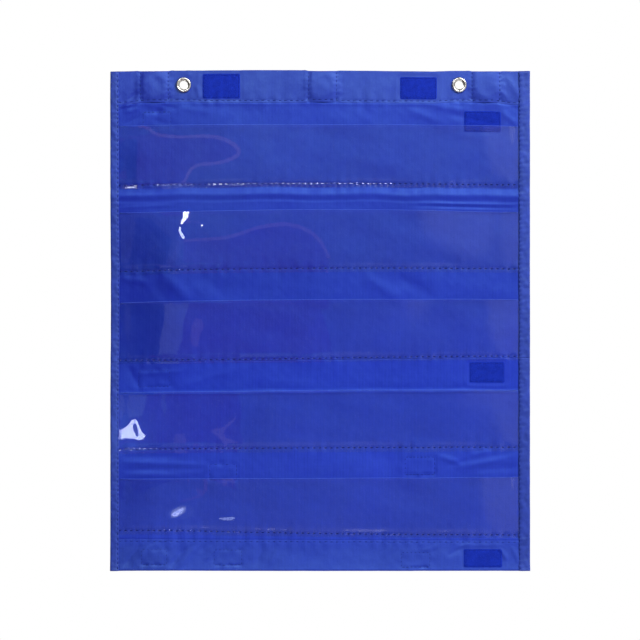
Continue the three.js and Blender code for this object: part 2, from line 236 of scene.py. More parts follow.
def outline_gap(x, z, box, r=1.4):
    """Signed distance to a patch's rounded outline: negative inside."""
    x0, x1, z0, z1 = box[:4]
    qx = np.abs(x - (x0 + x1) / 2) - (x1 - x0) / 2 + r
    qz = np.abs(z - (z0 + z1) / 2) - (z1 - z0) / 2 + r
    return np.hypot(np.maximum(qx, 0), np.maximum(qz, 0)) + np.minimum(np.maximum(qx, qz), 0) - r


# How hard the stitches pull at the upper, lower, left and right side of each patch that is sewn through from behind.
PULLS = {
    "left_upper": (1.5, 0.15, 0.8, 0.6), "left_middle": (0.2, 0.3, 0.25, 0.2), "left_bottom": (0.25, 1.0, 0.2, 0.4),
    "bottom_left": (0.3, 1.0, 0.2, 0.25), "bottom_right": (0.3, 1.0, 0.25, 0.3), "left": (0.9, 1.3, 0.5, 1.1), "right": (1.0, 1.2, 0.4, 1.1),
}


def pull(x, z, box, sides):
    x0, x1, z0, z1 = box[:4]
    gap = np.stack([np.abs(z - z1), np.abs(z - z0), np.abs(x - x0), np.abs(x - x1)])
    w = np.exp(-gap / 1.5)
    return (w * np.array(sides)[:, None]).sum(0) / w.sum(0)


SEAMS = [TOP_SEAM] + [p[1] for p in POCKETS] + [LOW_SEAM]


def hang(x, z):
    """The large, slow shape that every layer shares."""
    edge = smooth(178, 120, np.abs(x))
    left = smooth(-112, -176, x) * np.exp(-((z + 205) / np.where(z > -205, 88.0, 52.0)) ** 2)
    low_left = smooth(-135, -172, x) * np.exp(-((z + 360) / 50.0) ** 2)
    s = 0.42 * BIG(x, z) * (0.35 + 0.65 * edge) + 0.2 * MID(x, z) * (0.4 + 0.6 * edge)
    return s * calm(x, z) * smooth(0, -40, z) + 4.6 * left + 1.0 * low_left + curl(z)


def curl(z):
    """The bottom edge swings a little towards the eye."""
    d = np.maximum(-401.0 - z, 0.0)
    return -0.0052 * d * d


def sewn(x, z):
    """What sewing and folding do to the cloth: creases, puckers, grooves and small folds."""
    s = crease_up(x, z) + crease_low(x, z)
    for i, seam in enumerate(SEAMS):
        d = np.abs(z - seam)
        ph = 1.5 * PUCK_A(x, np.full_like(x, 31.0 * i))
        a = 0.2 + 0.13 * PUCK_B(x, np.full_like(x, 17.0 * i))
        s = s + a * np.sin(2 * math.pi * x / 11.5 + ph + i) * np.exp(-d / 5.5) * smooth(-0.5, 2.0, d + 0.6)
        s = s + 0.08 * np.exp(-(d / 1.3) ** 2)
    for x0, z0, x1, z1, a, w in FOLDS:
        cx0, cz0, cx1, cz1 = across(x0), down(z0), across(x1), down(z1)
        near = (np.abs(x - (cx0 + cx1) / 2) < abs(cx1 - cx0) / 2 + 4 * w) & (np.abs(z - (cz0 + cz1) / 2) < abs(cz1 - cz0) / 2 + 4 * w)
        if near.any():
            g, t = line_gap(x[near], z[near], cx0, cz0, cx1, cz1)
            s[near] = s[near] + 1.35 * a * np.exp(-(g / w) ** 2) * smooth(-0.12, 0.3, t) * smooth(1.12, 0.7, t)
    for word, box in list(HOOKS.items()) + list(POUCHES.items()):
        g = outline_gap(x, z, box) + 1.0
        near = g < 12
        if near.any():
            gx, gz, g = x[near], z[near], g[near]
            much = pull(gx, gz, box, PULLS[word]) * (1 + 0.6 * FINE(gx, gz)) * (1 + 0.4 * SMALL(gx, gz))
            s[near] = s[near] + 0.38 * much * np.exp(-(g / 0.95) ** 2) - 0.08 * smooth(0.5, -3.0, g) * smooth(-12, -2, g) + 0.14 * FINE(gx, gz) * np.exp(-(g / 4.0) ** 2)
    for box in LOOPS.values():
        g = outline_gap(x, z, box)
        s = s + 0.1 * np.exp(-((g - 1.0) / 1.2) ** 2) - 0.14 * np.exp(-((g - 3.2) / 1.6) ** 2)
    for mx, mz in TOP_MAGNETS:
        for side in (-11.7, 11.7):
            d = np.abs(x - mx - side)
            inside = smooth(-0.4, -2.5, z) * smooth(-27.5, -23.5, z)
            s = s + inside * (0.46 * np.exp(-(d / 1.25) ** 2) * (1 + 0.5 * np.cos(2 * math.pi * (z + 2.0) / 3.43)) - 0.16 * np.exp(-((d - 2.8) / 1.5) ** 2) * (1 + 0.9 * np.sin(z * 1.05 + side + mx)))
        r = np.hypot(x - mx, z - mz)
        s = s + 0.4 * smooth(19, 9, r) * TWIST(x, z)
    c = 0.45 + 0.55 * calm(x, z)
    s = s + (0.17 * SMALL(x, z) + 0.06 * FINE(x, z)) * c
    return s


def holes(x, z):
    """The dimple at each needle hole of the long seams."""
    k = (x / PITCH - np.round(x / PITCH)) * PITCH
    s = 0.0
    for seam in SEAMS:
        s = s + 0.2 * np.exp(-(k / 0.95) ** 2 - ((z - seam) / 0.95) ** 2)
    k = (z / EDGE_PITCH - np.round(z / EDGE_PITCH)) * EDGE_PITCH
    for edge in (BIND_L - 0.55, BIND_R + 0.55):
        s = s + 0.26 * np.exp(-(k / 1.0) ** 2 - ((x - edge) / 0.9) ** 2)
    return s


def bulge(x, z, places, flat, foot):
    s = 0.0
    for cx, cz in places:
        s = s + smooth(foot, flat, np.hypot(x - cx, z - cz))
    return s


def full(x, z):
    x, z = [np.array(v, float) for v in np.broadcast_arrays(x, z)]
    return hang(x, z) + sewn(x, z) + holes(x, z)


def cloth_y(x, z):
    """Middle of the backing cloth."""
    x, z = [np.array(v, float) for v in np.broadcast_arrays(x, z)]
    s = full(x, z)
    b = bulge(x, z, TOP_MAGNETS, 9.2, 15.5)
    # just past a hem's free edge the backing stands up to meet it
    near = np.exp(-((z - TOP_HEM + 0.8) / 1.8) ** 2) * smooth(TOP_HEM + 0.3, TOP_HEM - 0.7, z) + np.exp(-((z - LOW_HEM - 0.8) / 1.8) ** 2) * smooth(LOW_HEM - 0.3, LOW_HEM + 0.7, z)
    return 0.25 + s * (1 - 0.8 * np.clip(b, 0, 1) ** 2) + 1.72 * b - 0.24 * near


def hem_y(x, z):
    """Middle of the hem's front layer."""
    x, z = [np.array(v, float) for v in np.broadcast_arrays(x, z)]
    s = full(x, z)
    b = np.clip(bulge(x, z, TOP_MAGNETS, 7.5, 18.0), 0, 1)
    puff = 0.22 * np.exp(-((z + 12.5) / 7.0) ** 2) + 0.22 * np.exp(-((z + 411) / 7.0) ** 2)
    tuck = 0.10 * smooth(TOP_HEM + 1.4, TOP_HEM, z) + 0.24 * smooth(LOW_HEM - 1.6, LOW_HEM, z)
    return -0.08 + s * (1 - 0.45 * b) - 1.62 * b - puff * (1 - b) * (0.35 + 0.65 * calm(x, z)) + tuck * (1 - b)


# ---------------------------------------------------------------- meshes
def make(name, verts, faces, material, body=None, smooth_faces=True):
    m = bpy.data.meshes.new(name)
    m.from_pydata(np.asarray(verts, float).tolist(), [], faces if isinstance(faces, list) else np.asarray(faces).tolist())
    m.update()
    if smooth_faces:
        m.polygons.foreach_set("use_smooth", [True] * len(m.polygons))
    o = bpy.data.objects.new(name, m)
    bpy.context.scene.collection.objects.link(o)
    m.materials.append(material)
    if body:
        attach(o, body)
    return o


def grid_faces(nu, nv, keep=None, flip=False, around=False):
    """Quads of a grid whose point (i, j) has the number i * nv + j."""
    i, j = np.meshgrid(np.arange(nu - 1), np.arange(nv if around else nv - 1), indexing="ij")
    k = (j + 1) % nv
    f = np.stack([i * nv + j, i * nv + k, (i + 1) * nv + k, (i + 1) * nv + j], -1).reshape(-1, 4)
    if flip:
        f = f[:, ::-1]
    if keep is not None:
        f = f[keep.reshape(-1)]
    return f


def thicken(o, mm, offset=0.0):
    s = o.modifiers.new("thickness", "SOLIDIFY")
    s.thickness = mm / 1000
    s.offset = offset
    s.use_even_offset = True
    return o


def compact(verts, faces):
    used = np.unique(faces)
    to = np.full(len(verts), -1)
    to[used] = np.arange(len(used))
    return verts[used], to[faces]


def sheet_piece(name, P, material, keep=None, flip=False):
    nu, nv = P.shape[:2]
    v, f = compact(P.reshape(-1, 3), grid_faces(nu, nv, keep, flip))
    return make(name, row(v), f, material)


def stations(a, b, base, fine, spots):
    """Heights from a down to b, closer together round each spot (z, reach)."""
    out, z = [a], a
    while z > b + 1e-6:
        s = base
        for c, reach in spots:
            s = min(s, fine + (base - fine) * float(smooth(reach, reach + 5, abs(z - c))))
        z = max(z - s, b)
        if z - b < 0.35 * s:
            z = b
        out.append(z)
    return np.array(out)


XS = np.unique(np.concatenate([[-177.5], np.arange(-136, 137) * 1.3, [177.5]]))

# ---------------------------------------------------------------- materials
def nodes_of(name):
    m = bpy.data.materials.new(name)
    m.use_nodes = True
    t = m.node_tree
    t.nodes.clear()
    return m, t


class Net:
    """Small helper to write node trees shortly."""

    def __init__(self, name):
        self.mat, self.t = nodes_of(name)
        self.out = self.add("ShaderNodeOutputMaterial")
        tc = self.add("ShaderNodeTexCoord")
        self.co = tc.outputs["Object"]
        sep = self.add("ShaderNodeSeparateXYZ")
        self.link(self.co, sep.inputs[0])
        self.x, self.y, self.z = sep.outputs

    def add(self, kind, **props):
        n = self.t.nodes.new(kind)
        for k, v in props.items():
            setattr(n, k, v)
        return n

    def link(self, a, b):
        self.t.links.new(a, b)

    def put(self, socket, v):
        if hasattr(v, "is_output"):
            self.link(v, socket)
        else:
            socket.default_value = v

    def math(self, op, a, b=0.0, c=None, clamp=False):
        n = self.add("ShaderNodeMath", operation=op, use_clamp=clamp)
        self.put(n.inputs[0], a)
        self.put(n.inputs[1], b)
        if c is not None:
            self.put(n.inputs[2], c)
        return n.outputs[0]

    def noise(self, scale, detail=3.0, rough=0.5, stretch=None, distortion=0.0):
        n = self.add("ShaderNodeTexNoise")
        n.inputs["Scale"].default_value = scale
        n.inputs["Detail"].default_value = detail
        n.inputs["Roughness"].default_value = rough
        n.inputs["Distortion"].default_value = distortion
        if stretch:
            m = self.add("ShaderNodeMapping")
            m.inputs["Scale"].default_value = stretch
            self.link(self.co, m.inputs["Vector"])
            self.link(m.outputs[0], n.inputs["Vector"])
        else:
            self.link(self.co, n.inputs["Vector"])
        return n.outputs["Fac"]

    def ramp(self, v, stops):
        n = self.add("ShaderNodeValToRGB")
        e = n.color_ramp.elements
        while len(e) < len(stops):
            e.new(0.5)
        for i, (at, c) in enumerate(stops):
            e[i].position = at
            e[i].color = (*c, 1) if len(c) == 3 else c
        self.put(n.inputs[0], v)
        return n.outputs[0]

    def scaled(self, v, lo, hi, a=0.0, b=1.0):
        n = self.add("ShaderNodeMapRange")
        n.clamp = True
        self.put(n.inputs["Value"], v)
        n.inputs["From Min"].default_value = a
        n.inputs["From Max"].default_value = b
        n.inputs["To Min"].default_value = lo
        n.inputs["To Max"].default_value = hi
        return n.outputs[0]

    def mix(self, fac, a, b):
        n = self.add("ShaderNodeMix", data_type="RGBA")
        for s, v in ((n.inputs[6], a), (n.inputs[7], b)):
            self.put(s, v if hasattr(v, "is_output") else (*v, 1))
        self.put(n.inputs[0], fac)
        return n.outputs[2]

    def wave(self, axis, mm, phase=0.0):
        """Sine across one axis with this period, 0 to 1."""
        k = 2 * math.pi / (mm / 1000)
        s = self.math("SINE", self.math("MULTIPLY_ADD", axis, k, phase))
        return self.math("MULTIPLY_ADD", s, 0.5, 0.5)

    def bump(self, height, strength=1.0, normal=None):
        n = self.add("ShaderNodeBump")
        n.inputs["Strength"].default_value = strength
        n.inputs["Distance"].default_value = 1.0
        self.put(n.inputs["Height"], height)
        if normal is not None:
            self.link(normal, n.inputs["Normal"])
        return n.outputs[0]

    def sum(self, *vs):
        s = vs[0]
        for v in vs[1:]:
            s = self.math("ADD", s, v)
        return s

    def principled(self, color, rough, normal=None, **sockets):
        p = self.add("ShaderNodeBsdfPrincipled")
        self.put(p.inputs["Base Color"], color if hasattr(color, "is_output") else (*color, 1))
        self.put(p.inputs["Roughness"], rough)
        if normal is not None:
            self.link(normal, p.inputs["Normal"])
        for k, v in sockets.items():
            self.put(p.inputs[k.replace("_", " ")], v)
        return p

    def done(self, shader):
        self.link(shader.outputs[0], self.out.inputs["Surface"])
        return self.mat


def woven(name, dark, light, rib=1.0, spec=0.35, rough=0.5, sheen=0.15, tint=(0.35, 0.62, 1.0), crumple=1.0, painted_sheen=None, painted_sheen_ramp=None, shade=False):
    """Coated nylon: a fine plain weave, faint upright ribs, soft crumpling and a slightly uneven dye. Where asked, a
    painted sheen greys it towards the top and the bottom, and painted shade darkens it in soft boxes.
    """
    n = Net(name)
    warp_, weft = n.wave(n.x, 0.42), n.wave(n.z, 0.46)
    rib_ = n.wave(n.x, 2.75, 0.7)
    rib2 = n.wave(n.x, 1.375, 1.9)
    patch = n.noise(14.0, 3.0, 0.55)
    thread = n.noise(900.0, 2.0, 0.6, stretch=(1.0, 1.0, 0.08))
    thread2 = n.noise(700.0, 2.0, 0.6, stretch=(0.08, 1.0, 1.0))
    tone = n.sum(
        n.scaled(patch, -0.22, 0.22, 0.3, 0.7),
        n.scaled(rib_, -0.085 * rib, 0.085 * rib),
        n.scaled(rib2, -0.03 * rib, 0.03 * rib),
        n.scaled(thread, -0.16, 0.16, 0.25, 0.75),
        n.scaled(thread2, -0.1, 0.1, 0.25, 0.75),
    )
    color = n.mix(n.math("ADD", tone, 0.5, clamp=True), dark, light)
    if painted_sheen:
        # painted sheen: the colour goes greyer towards the top and the bottom, standing in for the cloth's sheen under
        # the lights there
        grey = n.mix(n.math("ADD", tone, 0.5, clamp=True), *painted_sheen)
        at = n.scaled(n.z, 0.0, 1.0, -0.4115, 0.0118)
        much = n.ramp(at, painted_sheen_ramp or [(0.0, (1, 1, 1)), (0.20, (1, 1, 1)), (0.33, (0.15, 0.15, 0.15)), (0.45, (0, 0, 0)), (0.60, (0.1, 0.1, 0.1)), (0.74, (0.75, 0.75, 0.75)), (0.90, (1, 1, 1))])
        color = n.mix(much, color, grey)
    if shade:
        # painted shade: soft boxes mix darker, less green blues into the cloth down the left side, over the upper half
        # and along the bottom hem, standing in for less light and sheen falling there
        deep, painted_shade_dark = (0.0030, 0.0050, 0.33), (0.001, 0.001, 0.02)
        for x0, x1, z0, z1, soft, part, to in (
            (-0.200, -0.1290, -0.2500, -0.1190, 0.011, 0.84, deep), (-0.1690, -0.1545, -0.0870, -0.0610, 0.005, 0.75, deep),
            (-0.200, -0.010, -0.2430, -0.1460, 0.016, 0.17, deep), (-0.200, -0.1480, -0.430, 0.03, 0.012, 0.16, deep),
            (-0.300, 0.300, -0.2450, 0.0500, 0.030, 0.30, (0.0140, 0.0080, 0.46)), (-0.300, 0.300, -0.1900, 0.0500, 0.024, 0.12, painted_shade_dark), (-0.300, -0.0300, -0.1000, 0.0500, 0.020, 0.05, painted_shade_dark), (-0.300, 0.300, -0.4400, -0.3900, 0.004, 0.09, painted_shade_dark), (-0.300, -0.1350, -0.4400, -0.3900, 0.012, 0.14, painted_shade_dark), (-0.300, -0.1250, -0.3500, 0.0500, 0.020, 0.24, (0.0050, 0.0030, 0.46)),
        ):
            m = part
            for v, a, b in ((n.x, x0 - soft, x0 + soft), (n.x, x1 + soft, x1 - soft), (n.z, z0 - soft, z0 + soft), (n.z, z1 + soft, z1 - soft)):
                m = n.math("MULTIPLY", m, n.scaled(v, 0.0, 1.0, a, b))
            color = n.mix(m, color, to)
    h = n.sum(
        n.math("MULTIPLY", n.math("MULTIPLY", warp_, weft), 0.000035),
        n.math("MULTIPLY", rib_, 0.00002 * rib),
        n.math("MULTIPLY", n.noise(260.0, 4.0, 0.55), 0.00011 * crumple),
        n.math("MULTIPLY", n.noise(70.0, 3.0, 0.5), 0.00028 * crumple),
        n.math("MULTIPLY", thread, 0.00002),
    )
    r = n.scaled(n.noise(90.0, 3.0), rough - 0.07, rough + 0.08, 0.3, 0.7)
    p = n.principled(
        color, r, n.bump(h, 0.85),
        IOR=1.5, Specular_IOR_Level=spec, Specular_Tint=(*tint, 1), Sheen_Weight=sheen, Sheen_Roughness=0.4, Sheen_Tint=(*tint, 1),
    )
    return n.done(p)


# the front cloth and the hem carry a painted sheen towards the top and the bottom and painted shade in soft boxes; the
# back cloth has neither
CLOTH = woven("backing_cloth_nylon", (0.0085, 0.0184, 0.43), (0.0135, 0.0287, 0.59), spec=1.0, rough=0.52, tint=(0.2, 0.5, 1.0), sheen=0.08, painted_sheen=((0.0140, 0.0242, 0.43), (0.0200, 0.0358, 0.59)), shade=True)
CLOTH_BACK = woven("backing_cloth_nylon_back", (0.0080, 0.0172, 0.40), (0.0128, 0.0268, 0.55), spec=1.0, rough=0.52, tint=(0.2, 0.5, 1.0), sheen=0.08)
HEM = woven("hem_cloth_nylon", (0.0172, 0.0355, 0.40), (0.0250, 0.0510, 0.53), rib=0.6, spec=1.0, rough=0.52, tint=(0.3, 0.6, 1.0), sheen=0.08, crumple=1.2, painted_sheen=((0.0135, 0.0290, 0.43), (0.0200, 0.0430, 0.57)), painted_sheen_ramp=[(0.0, (1, 1, 1)), (0.08, (1, 1, 1)), (0.12, (0, 0, 0))], shade=True)


def tape_material():
    n = Net("binding_tape_woven")
    rib = n.wave(n.z, 0.9)
    edge = n.wave(n.x, 0.6)
    mot = n.noise(210.0, 3.0, 0.6)
    big = n.noise(30.0, 3.0, 0.5)
    tone = n.sum(n.scaled(rib, -0.12, 0.12), n.scaled(mot, -0.4, 0.4, 0.3, 0.7), n.scaled(big, -0.18, 0.18, 0.3, 0.7))
    color = n.mix(n.math("ADD", tone, 0.5, clamp=True), (0.0160, 0.031, 0.31), (0.0270, 0.051, 0.46))
    h = n.sum(n.math("MULTIPLY", rib, 0.00002), n.math("MULTIPLY", edge, 0.00002), n.math("MULTIPLY", mot, 0.00034), n.math("MULTIPLY", n.noise(90.0, 2.0), 0.0004))
    p = n.principled(color, n.scaled(mot, 0.5, 0.62, 0.3, 0.7), n.bump(h, 0.9), IOR=1.5, Specular_IOR_Level=0.8, Specular_Tint=(0.35, 0.6, 1.0, 1), Sheen_Weight=0.1, Sheen_Roughness=0.4, Sheen_Tint=(0.4, 0.6, 1.0, 1))
    return n.done(p)


TAPE = tape_material()


def thread_material(name, dark, light):
    n = Net(name)
    twist = n.wave(n.sum(n.x, n.z), 0.5)
    fuzz = n.noise(2400.0, 2.0)
    color = n.mix(n.math("MULTIPLY", twist, fuzz), dark, light)
    h = n.sum(n.math("MULTIPLY", twist, 0.00005), n.math("MULTIPLY", fuzz, 0.00003))
    return n.done(n.principled(color, n.scaled(fuzz, 0.5, 0.7), n.bump(h, 0.8), Specular_IOR_Level=0.2, Specular_Tint=(0.4, 0.6, 1.0, 1)))


THREAD = thread_material("sewing_thread_navy", (0.003, 0.010, 0.13), (0.007, 0.021, 0.29))
PATCH_THREAD = thread_material("sewing_thread_blue", (0.005, 0.018, 0.30), (0.009, 0.034, 0.50))


def pile_material(name, dark, light):
    n = Net(name)
    f = n.noise(1500.0, 3.0, 0.65)
    g = n.noise(240.0, 3.0, 0.5)
    color = n.mix(n.math("ADD", n.scaled(f, -0.3, 0.3, 0.3, 0.7), n.scaled(g, 0.25, 0.75, 0.3, 0.7), clamp=True), dark, light)
    h = n.sum(n.math("MULTIPLY", f, 0.00016), n.math("MULTIPLY", g, 0.0002))
    return n.done(n.principled(color, n.scaled(f, 0.8, 1.0), n.bump(h, 0.9), Specular_IOR_Level=0.12, Sheen_Weight=0.08, Sheen_Roughness=0.6, Sheen_Tint=(0.3, 0.5, 1.0, 1)))


LOOP = pile_material("loop_tape_pile", (0.0050, 0.0220, 0.37), (0.0095, 0.0385, 0.565))
HOOK = pile_material("hook_tape_nylon", (0.009, 0.024, 0.30), (0.018, 0.042, 0.46))


def vinyl_material():
    """Clear soft PVC: each face mirrors a few per cent, more at a slant, and lets the rest through. It is faintly scuffed."""
    n = Net("clear_vinyl_film")
    facing = n.add("ShaderNodeLayerWeight")
    facing.inputs["Blend"].default_value = 0.5
    schlick = n.math("MULTIPLY_ADD", n.math("POWER", facing.outputs["Facing"], 5.0), 0.95, 0.036)
    clear = n.add("ShaderNodeBsdfTransparent")
    clear.inputs["Color"].default_value = (0.960, 0.985, 0.992, 1)
    scuff = n.noise(38.0, 5.0, 0.6)
    fine = n.noise(420.0, 3.0, 0.6, stretch=(0.35, 1.0, 1.0))
    h = n.sum(n.math("MULTIPLY", n.noise(46.0, 2.0), 0.00004), n.math("MULTIPLY", n.noise(160.0, 2.0), 0.000005))
    gloss = n.principled((1.0, 1.0, 1.0), n.scaled(scuff, 0.035, 0.07, 0.35, 0.7), n.bump(h, 0.55), Metallic=1.0)
    haze = n.add("ShaderNodeBsdfDiffuse")
    haze.inputs["Color"].default_value = (0.62, 0.70, 0.95, 1)
    a = n.add("ShaderNodeMixShader")
    n.link(schlick, a.inputs[0])
    n.link(clear.outputs[0], a.inputs[1])
    n.link(gloss.outputs[0], a.inputs[2])
    b = n.add("ShaderNodeMixShader")
    n.link(n.math("MULTIPLY", n.scaled(scuff, 0.001, 0.004, 0.35, 0.7), n.scaled(fine, 0.6, 1.5, 0.3, 0.7)), b.inputs[0])
    n.link(a.outputs[0], b.inputs[1])
    n.link(haze.outputs[0], b.inputs[2])
    return n.done(b)


VINYL = vinyl_material()


def vinyl_edge_material():
    """The cut edge of the film: milky, and painted lighter as a highlight that stands in for the light line the edge
    catches.
    """
    n = Net("clear_vinyl_edge")
    f = n.noise(600.0, 3.0)
    color = n.mix(f, (0.058, 0.120, 0.64), (0.088, 0.165, 0.78))
    clear = n.add("ShaderNodeBsdfTransparent")
    clear.inputs["Color"].default_value = (0.93, 0.95, 1.0, 1)
    body = n.principled(color, n.scaled(f, 0.7, 0.85), Specular_IOR_Level=0.0)
    m = n.add("ShaderNodeMixShader")
    n.link(n.scaled(f, 0.75, 0.95, 0.3, 0.7), m.inputs[0])
    n.link(clear.outputs[0], m.inputs[1])
    n.link(body.outputs[0], m.inputs[2])
    return n.done(m)


VINYL_EDGE = vinyl_edge_material()


def nickel_material():
    n = Net("nickel_plated_brass")
    f = n.noise(900.0, 4.0, 0.6)
    s = n.noise(120.0, 3.0, 0.6)
    color = n.mix(n.scaled(s, 0.0, 1.0, 0.3, 0.7), (0.58, 0.56, 0.52), (0.74, 0.72, 0.68))
    h = n.sum(n.math("MULTIPLY", f, 0.000012), n.math("MULTIPLY", s, 0.00004))
    return n.done(n.principled(color, n.scaled(f, 0.14, 0.24, 0.3, 0.7), n.bump(h, 0.5), Metallic=1.0))


NICKEL = nickel_material()


def ferrite_material():
    n = Net("magnet_ferrite_grey")
    f = n.noise(800.0, 4.0, 0.7)
    color = n.mix(f, (0.035, 0.036, 0.04), (0.11, 0.11, 0.12))
    return n.done(n.principled(color, n.scaled(f, 0.45, 0.7), n.bump(n.math("MULTIPLY", f, 0.00004), 0.8), Metallic=0.3))


FERRITE = ferrite_material()

# ---------------------------------------------------------------- cloth
def with_warp(X, Y, Z):
    return np.stack([X, Y, Z + warp(X, Z)], -1)


def hole_mask(P):
    """Faces to keep, which leave out what the eyelets go through."""
    r = np.full(P.shape[:2], 99.0)
    for cx, cz in EYELETS:
        r = np.minimum(r, np.hypot(P[..., 0] - cx, P[..., 2] - cz))
    least = np.minimum(np.minimum(r[:-1, :-1], r[1:, :-1]), np.minimum(r[:-1, 1:], r[1:, 1:]))
    return least > 4.45


def backing(name, z0, z1, base, spots):
    zs = stations(z0, z1, base, 0.62, spots)
    X, Z = np.meshgrid(XS, zs)
    P = with_warp(X, cloth_y(X, Z), Z)
    return P


up_spots = [(TOP_SEAM, 2), (-95.8, 3), (CREASE_UP, 5.5), (-167.8, 2), (-242.4, 2)]
P_up = backing("backing_cloth_upper", -1.4, SPLIT, 1.8, up_spots)
low_spots = [(-242.4, 2), (CREASE_LOW, 4.5), (-319.5, 2), (-391.6, 2), (LOW_SEAM, 2), (-412, 7)]
P_low = backing("backing_cloth_lower", SPLIT, -HIGH + 1.4, 1.6, low_spots)


def hem_grid(edge, turn, fold, ends):
    """Front layer from its free edge to the fold. edge: z of the free edge; fold: z of the outer fold."""
    up = 1 if fold > edge else -1
    zs = np.concatenate([np.arange(0, 4, 0.5), np.arange(4, abs(fold - edge) - 1.4, 0.85)])
    prof = [(0.12, 1.6 * up), (0.12, 0.9 * up), (0.1, 0.25 * up), (0.05, 0.0), (-0.02, -0.03 * up), (-0.09, 0.12 * up)]
    pts = [(edge + dz, dy, 1.0) for dy, dz in prof]
    pts += [(edge + up * (0.5 + s), -0.1 * math.exp(-(s / 1.1) ** 2), 1.0) for s in zs if s + 0.5 < abs(fold - edge) - 1.2]
    n_front = len(pts)
    # the fold itself: half a turn from the front layer to the backing's
    for a in (0, 20, 42, 65, 90, 115, 138, 160, 180):
        pts.append((fold - up * (1.0 - 0.92 * math.sin(math.radians(a))), None, a / 180.0))
    pts.append((fold - up * 1.4, None, 1.0))
    xs = XS
    P = np.zeros((len(pts), len(xs), 3))
    for i, (z, dy, a) in enumerate(pts):
        Z = np.full_like(xs, z)
        if dy is not None:
            Y = hem_y(xs, Z) + dy
        else:
            zz = np.full_like(xs, fold - up * 1.2)
            f, b = hem_y(xs, zz), cloth_y(xs, np.full_like(xs, fold - up * 1.4))
            Y = f + (b - f) * (0.5 - 0.5 * math.cos(math.pi * a))
        P[i] = with_warp(xs, Y, Z)
    return P


P_top = hem_grid(TOP_HEM, 4.0, 0.0, None)
P_bot = hem_grid(LOW_HEM, 4.0, -HIGH, None)
# the fold's last row is the backing's first, so that the two meet without a step
P_top[-1] = P_up[0]
P_bot[-1] = P_low[-1]

upper = thicken(sheet_piece("backing_cloth_upper", P_up, CLOTH, hole_mask(P_up), flip=True), 0.22)
lower = thicken(sheet_piece("backing_cloth_lower", P_low, CLOTH, flip=True), 0.22)
for o in (upper, lower):            # the back has none of the front's painted sheen and painted shade
    o.data.materials.append(CLOTH_BACK)
    o.modifiers["thickness"].material_offset = 1
hem_top = thicken(sheet_piece("hem_top_folded", P_top, HEM, hole_mask(P_top)), 0.22)
hem_bot = thicken(sheet_piece("hem_bottom_folded", P_bot, HEM, flip=True), 0.22)

UP_A, UP_B = row_point(0, 0, CREASE_UP + 3.25), row_point(0, 0, CREASE_UP - 3.25)
LOW_A, LOW_B = row_point(0, 0, CREASE_LOW + 2.5), row_point(0, 0, CREASE_LOW - 2.5)


def over_crease(o, which):
    if which == "up":
        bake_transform(o)
    else:
        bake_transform(o)
    return o


over_crease(upper, "up")
over_crease(lower, "low")
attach(hem_top, "top_section")
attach(hem_bot, "bottom_section")
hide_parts("backing_cloth_top", "backing_cloth_middle")
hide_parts("backing_cloth_bottom")
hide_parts("top_hem")
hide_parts("bottom_hem")

# ---------------------------------------------------------------- bindings
MOTTLE = waves(41, 5.2, 7, (1.6, 1.0))
ROLL = waves(42, 17, 7)


def binding(name, side, z0, z1):
    inner = BIND_L if side < 0 else BIND_R
    outer = side * 177.62
    n = 9
    s = np.linspace(0, 1, n)
    xs_front = inner + (outer - side * 0.35 - inner) * s
    prof = [(inner + side * 0.9, -0.32), (inner + side * 0.15, -0.32), (inner + side * 0.02, -0.38), (inner + side * 0.12, -0.46), (inner + side * 0.8, -0.58)]
    prof += [(x, -0.74) for x in xs_front[2:]]
    prof += [(outer, -0.52), (outer + side * 0.12, -0.18), (outer + side * 0.12, 0.22), (outer, 0.56)]
    prof += [(x, 0.78) for x in xs_front[::-1][:-1]]
    prof += [(inner + side * 0.12, 0.84), (inner - side * 0.02, 0.68), (inner + side * 0.25, 0.56)]
    zs = stations(z0, z1, 0.975, 0.65, [(CREASE_UP, 5), (CREASE_LOW, 4)])
    P = np.zeros((len(zs), len(prof), 3))
    stitch = inner + side * 0.55
    for j, (px, py) in enumerate(prof):
        x = np.full_like(zs, px)
        front = py < 0
        # slack rolls of the tape between its stitches
        k = np.abs(zs / EDGE_PITCH - np.round(zs / EDGE_PITCH)) * EDGE_PITCH
        body = np.exp(-((x - stitch) / 2.6) ** 2)
        away = smooth(0.0, 2.2, np.abs(x - inner)) * smooth(0.0, 1.6, np.abs(x - outer))
        puff = (0.16 * smooth(0.2, 1.9, k) * body + 0.16 * MOTTLE(x + (0 if front else 60), zs) * away + 0.2 * away) * (1 if front else 0.8)
        d = hang(x.copy(), zs.copy()) + 0.6 * (crease_up(x, zs) + crease_low(x, zs)) + 0.1 * ROLL(x, zs)
        pit = 0.30 * np.exp(-(k / 0.85) ** 2 - ((x - stitch) / 0.8) ** 2)
        y = py + d + (pit - puff if front else puff - pit)
        wob = 0.16 * ROLL(np.zeros_like(zs) + 5 * side, zs) * (1 if abs(px - inner) < 2 else 0.4)
        P[:, j] = with_warp(x + wob, y, zs)
    if z0 == 0.0:
        P[0, :, 1] = P[0, :, 1] * 0.85
    return P


for side, word in ((-1, "left"), (1, "right")):
    for part, z0, z1, nodes in (("upper", 0.0, SPLIT, ("top", "middle")), ("lower", SPLIT, -HIGH, ("bottom",))):
        o = thicken(sheet_piece(f"binding_{word}_{part}", binding(word, side, z0, z1), TAPE, flip=side < 0), 0.34)
        over_crease(o, "up" if part == "upper" else "low")
        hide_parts(*[f"binding_{word}_{p}" for p in nodes])

# ---------------------------------------------------------------- clear pockets
LEFT_BOX = np.array([-0.60, -1.42, 0.75])      # where the small softbox stands, in row metres
TOP_BOX = np.array([-0.05, -1.45, 0.78])
EYE = np.array([-0.00114, -1.507, -0.19923])


RIP = [[waves(60 + 10 * i + k, s, 7) for k, s in enumerate((46, 74, 17, 120))] for i in range(5)]
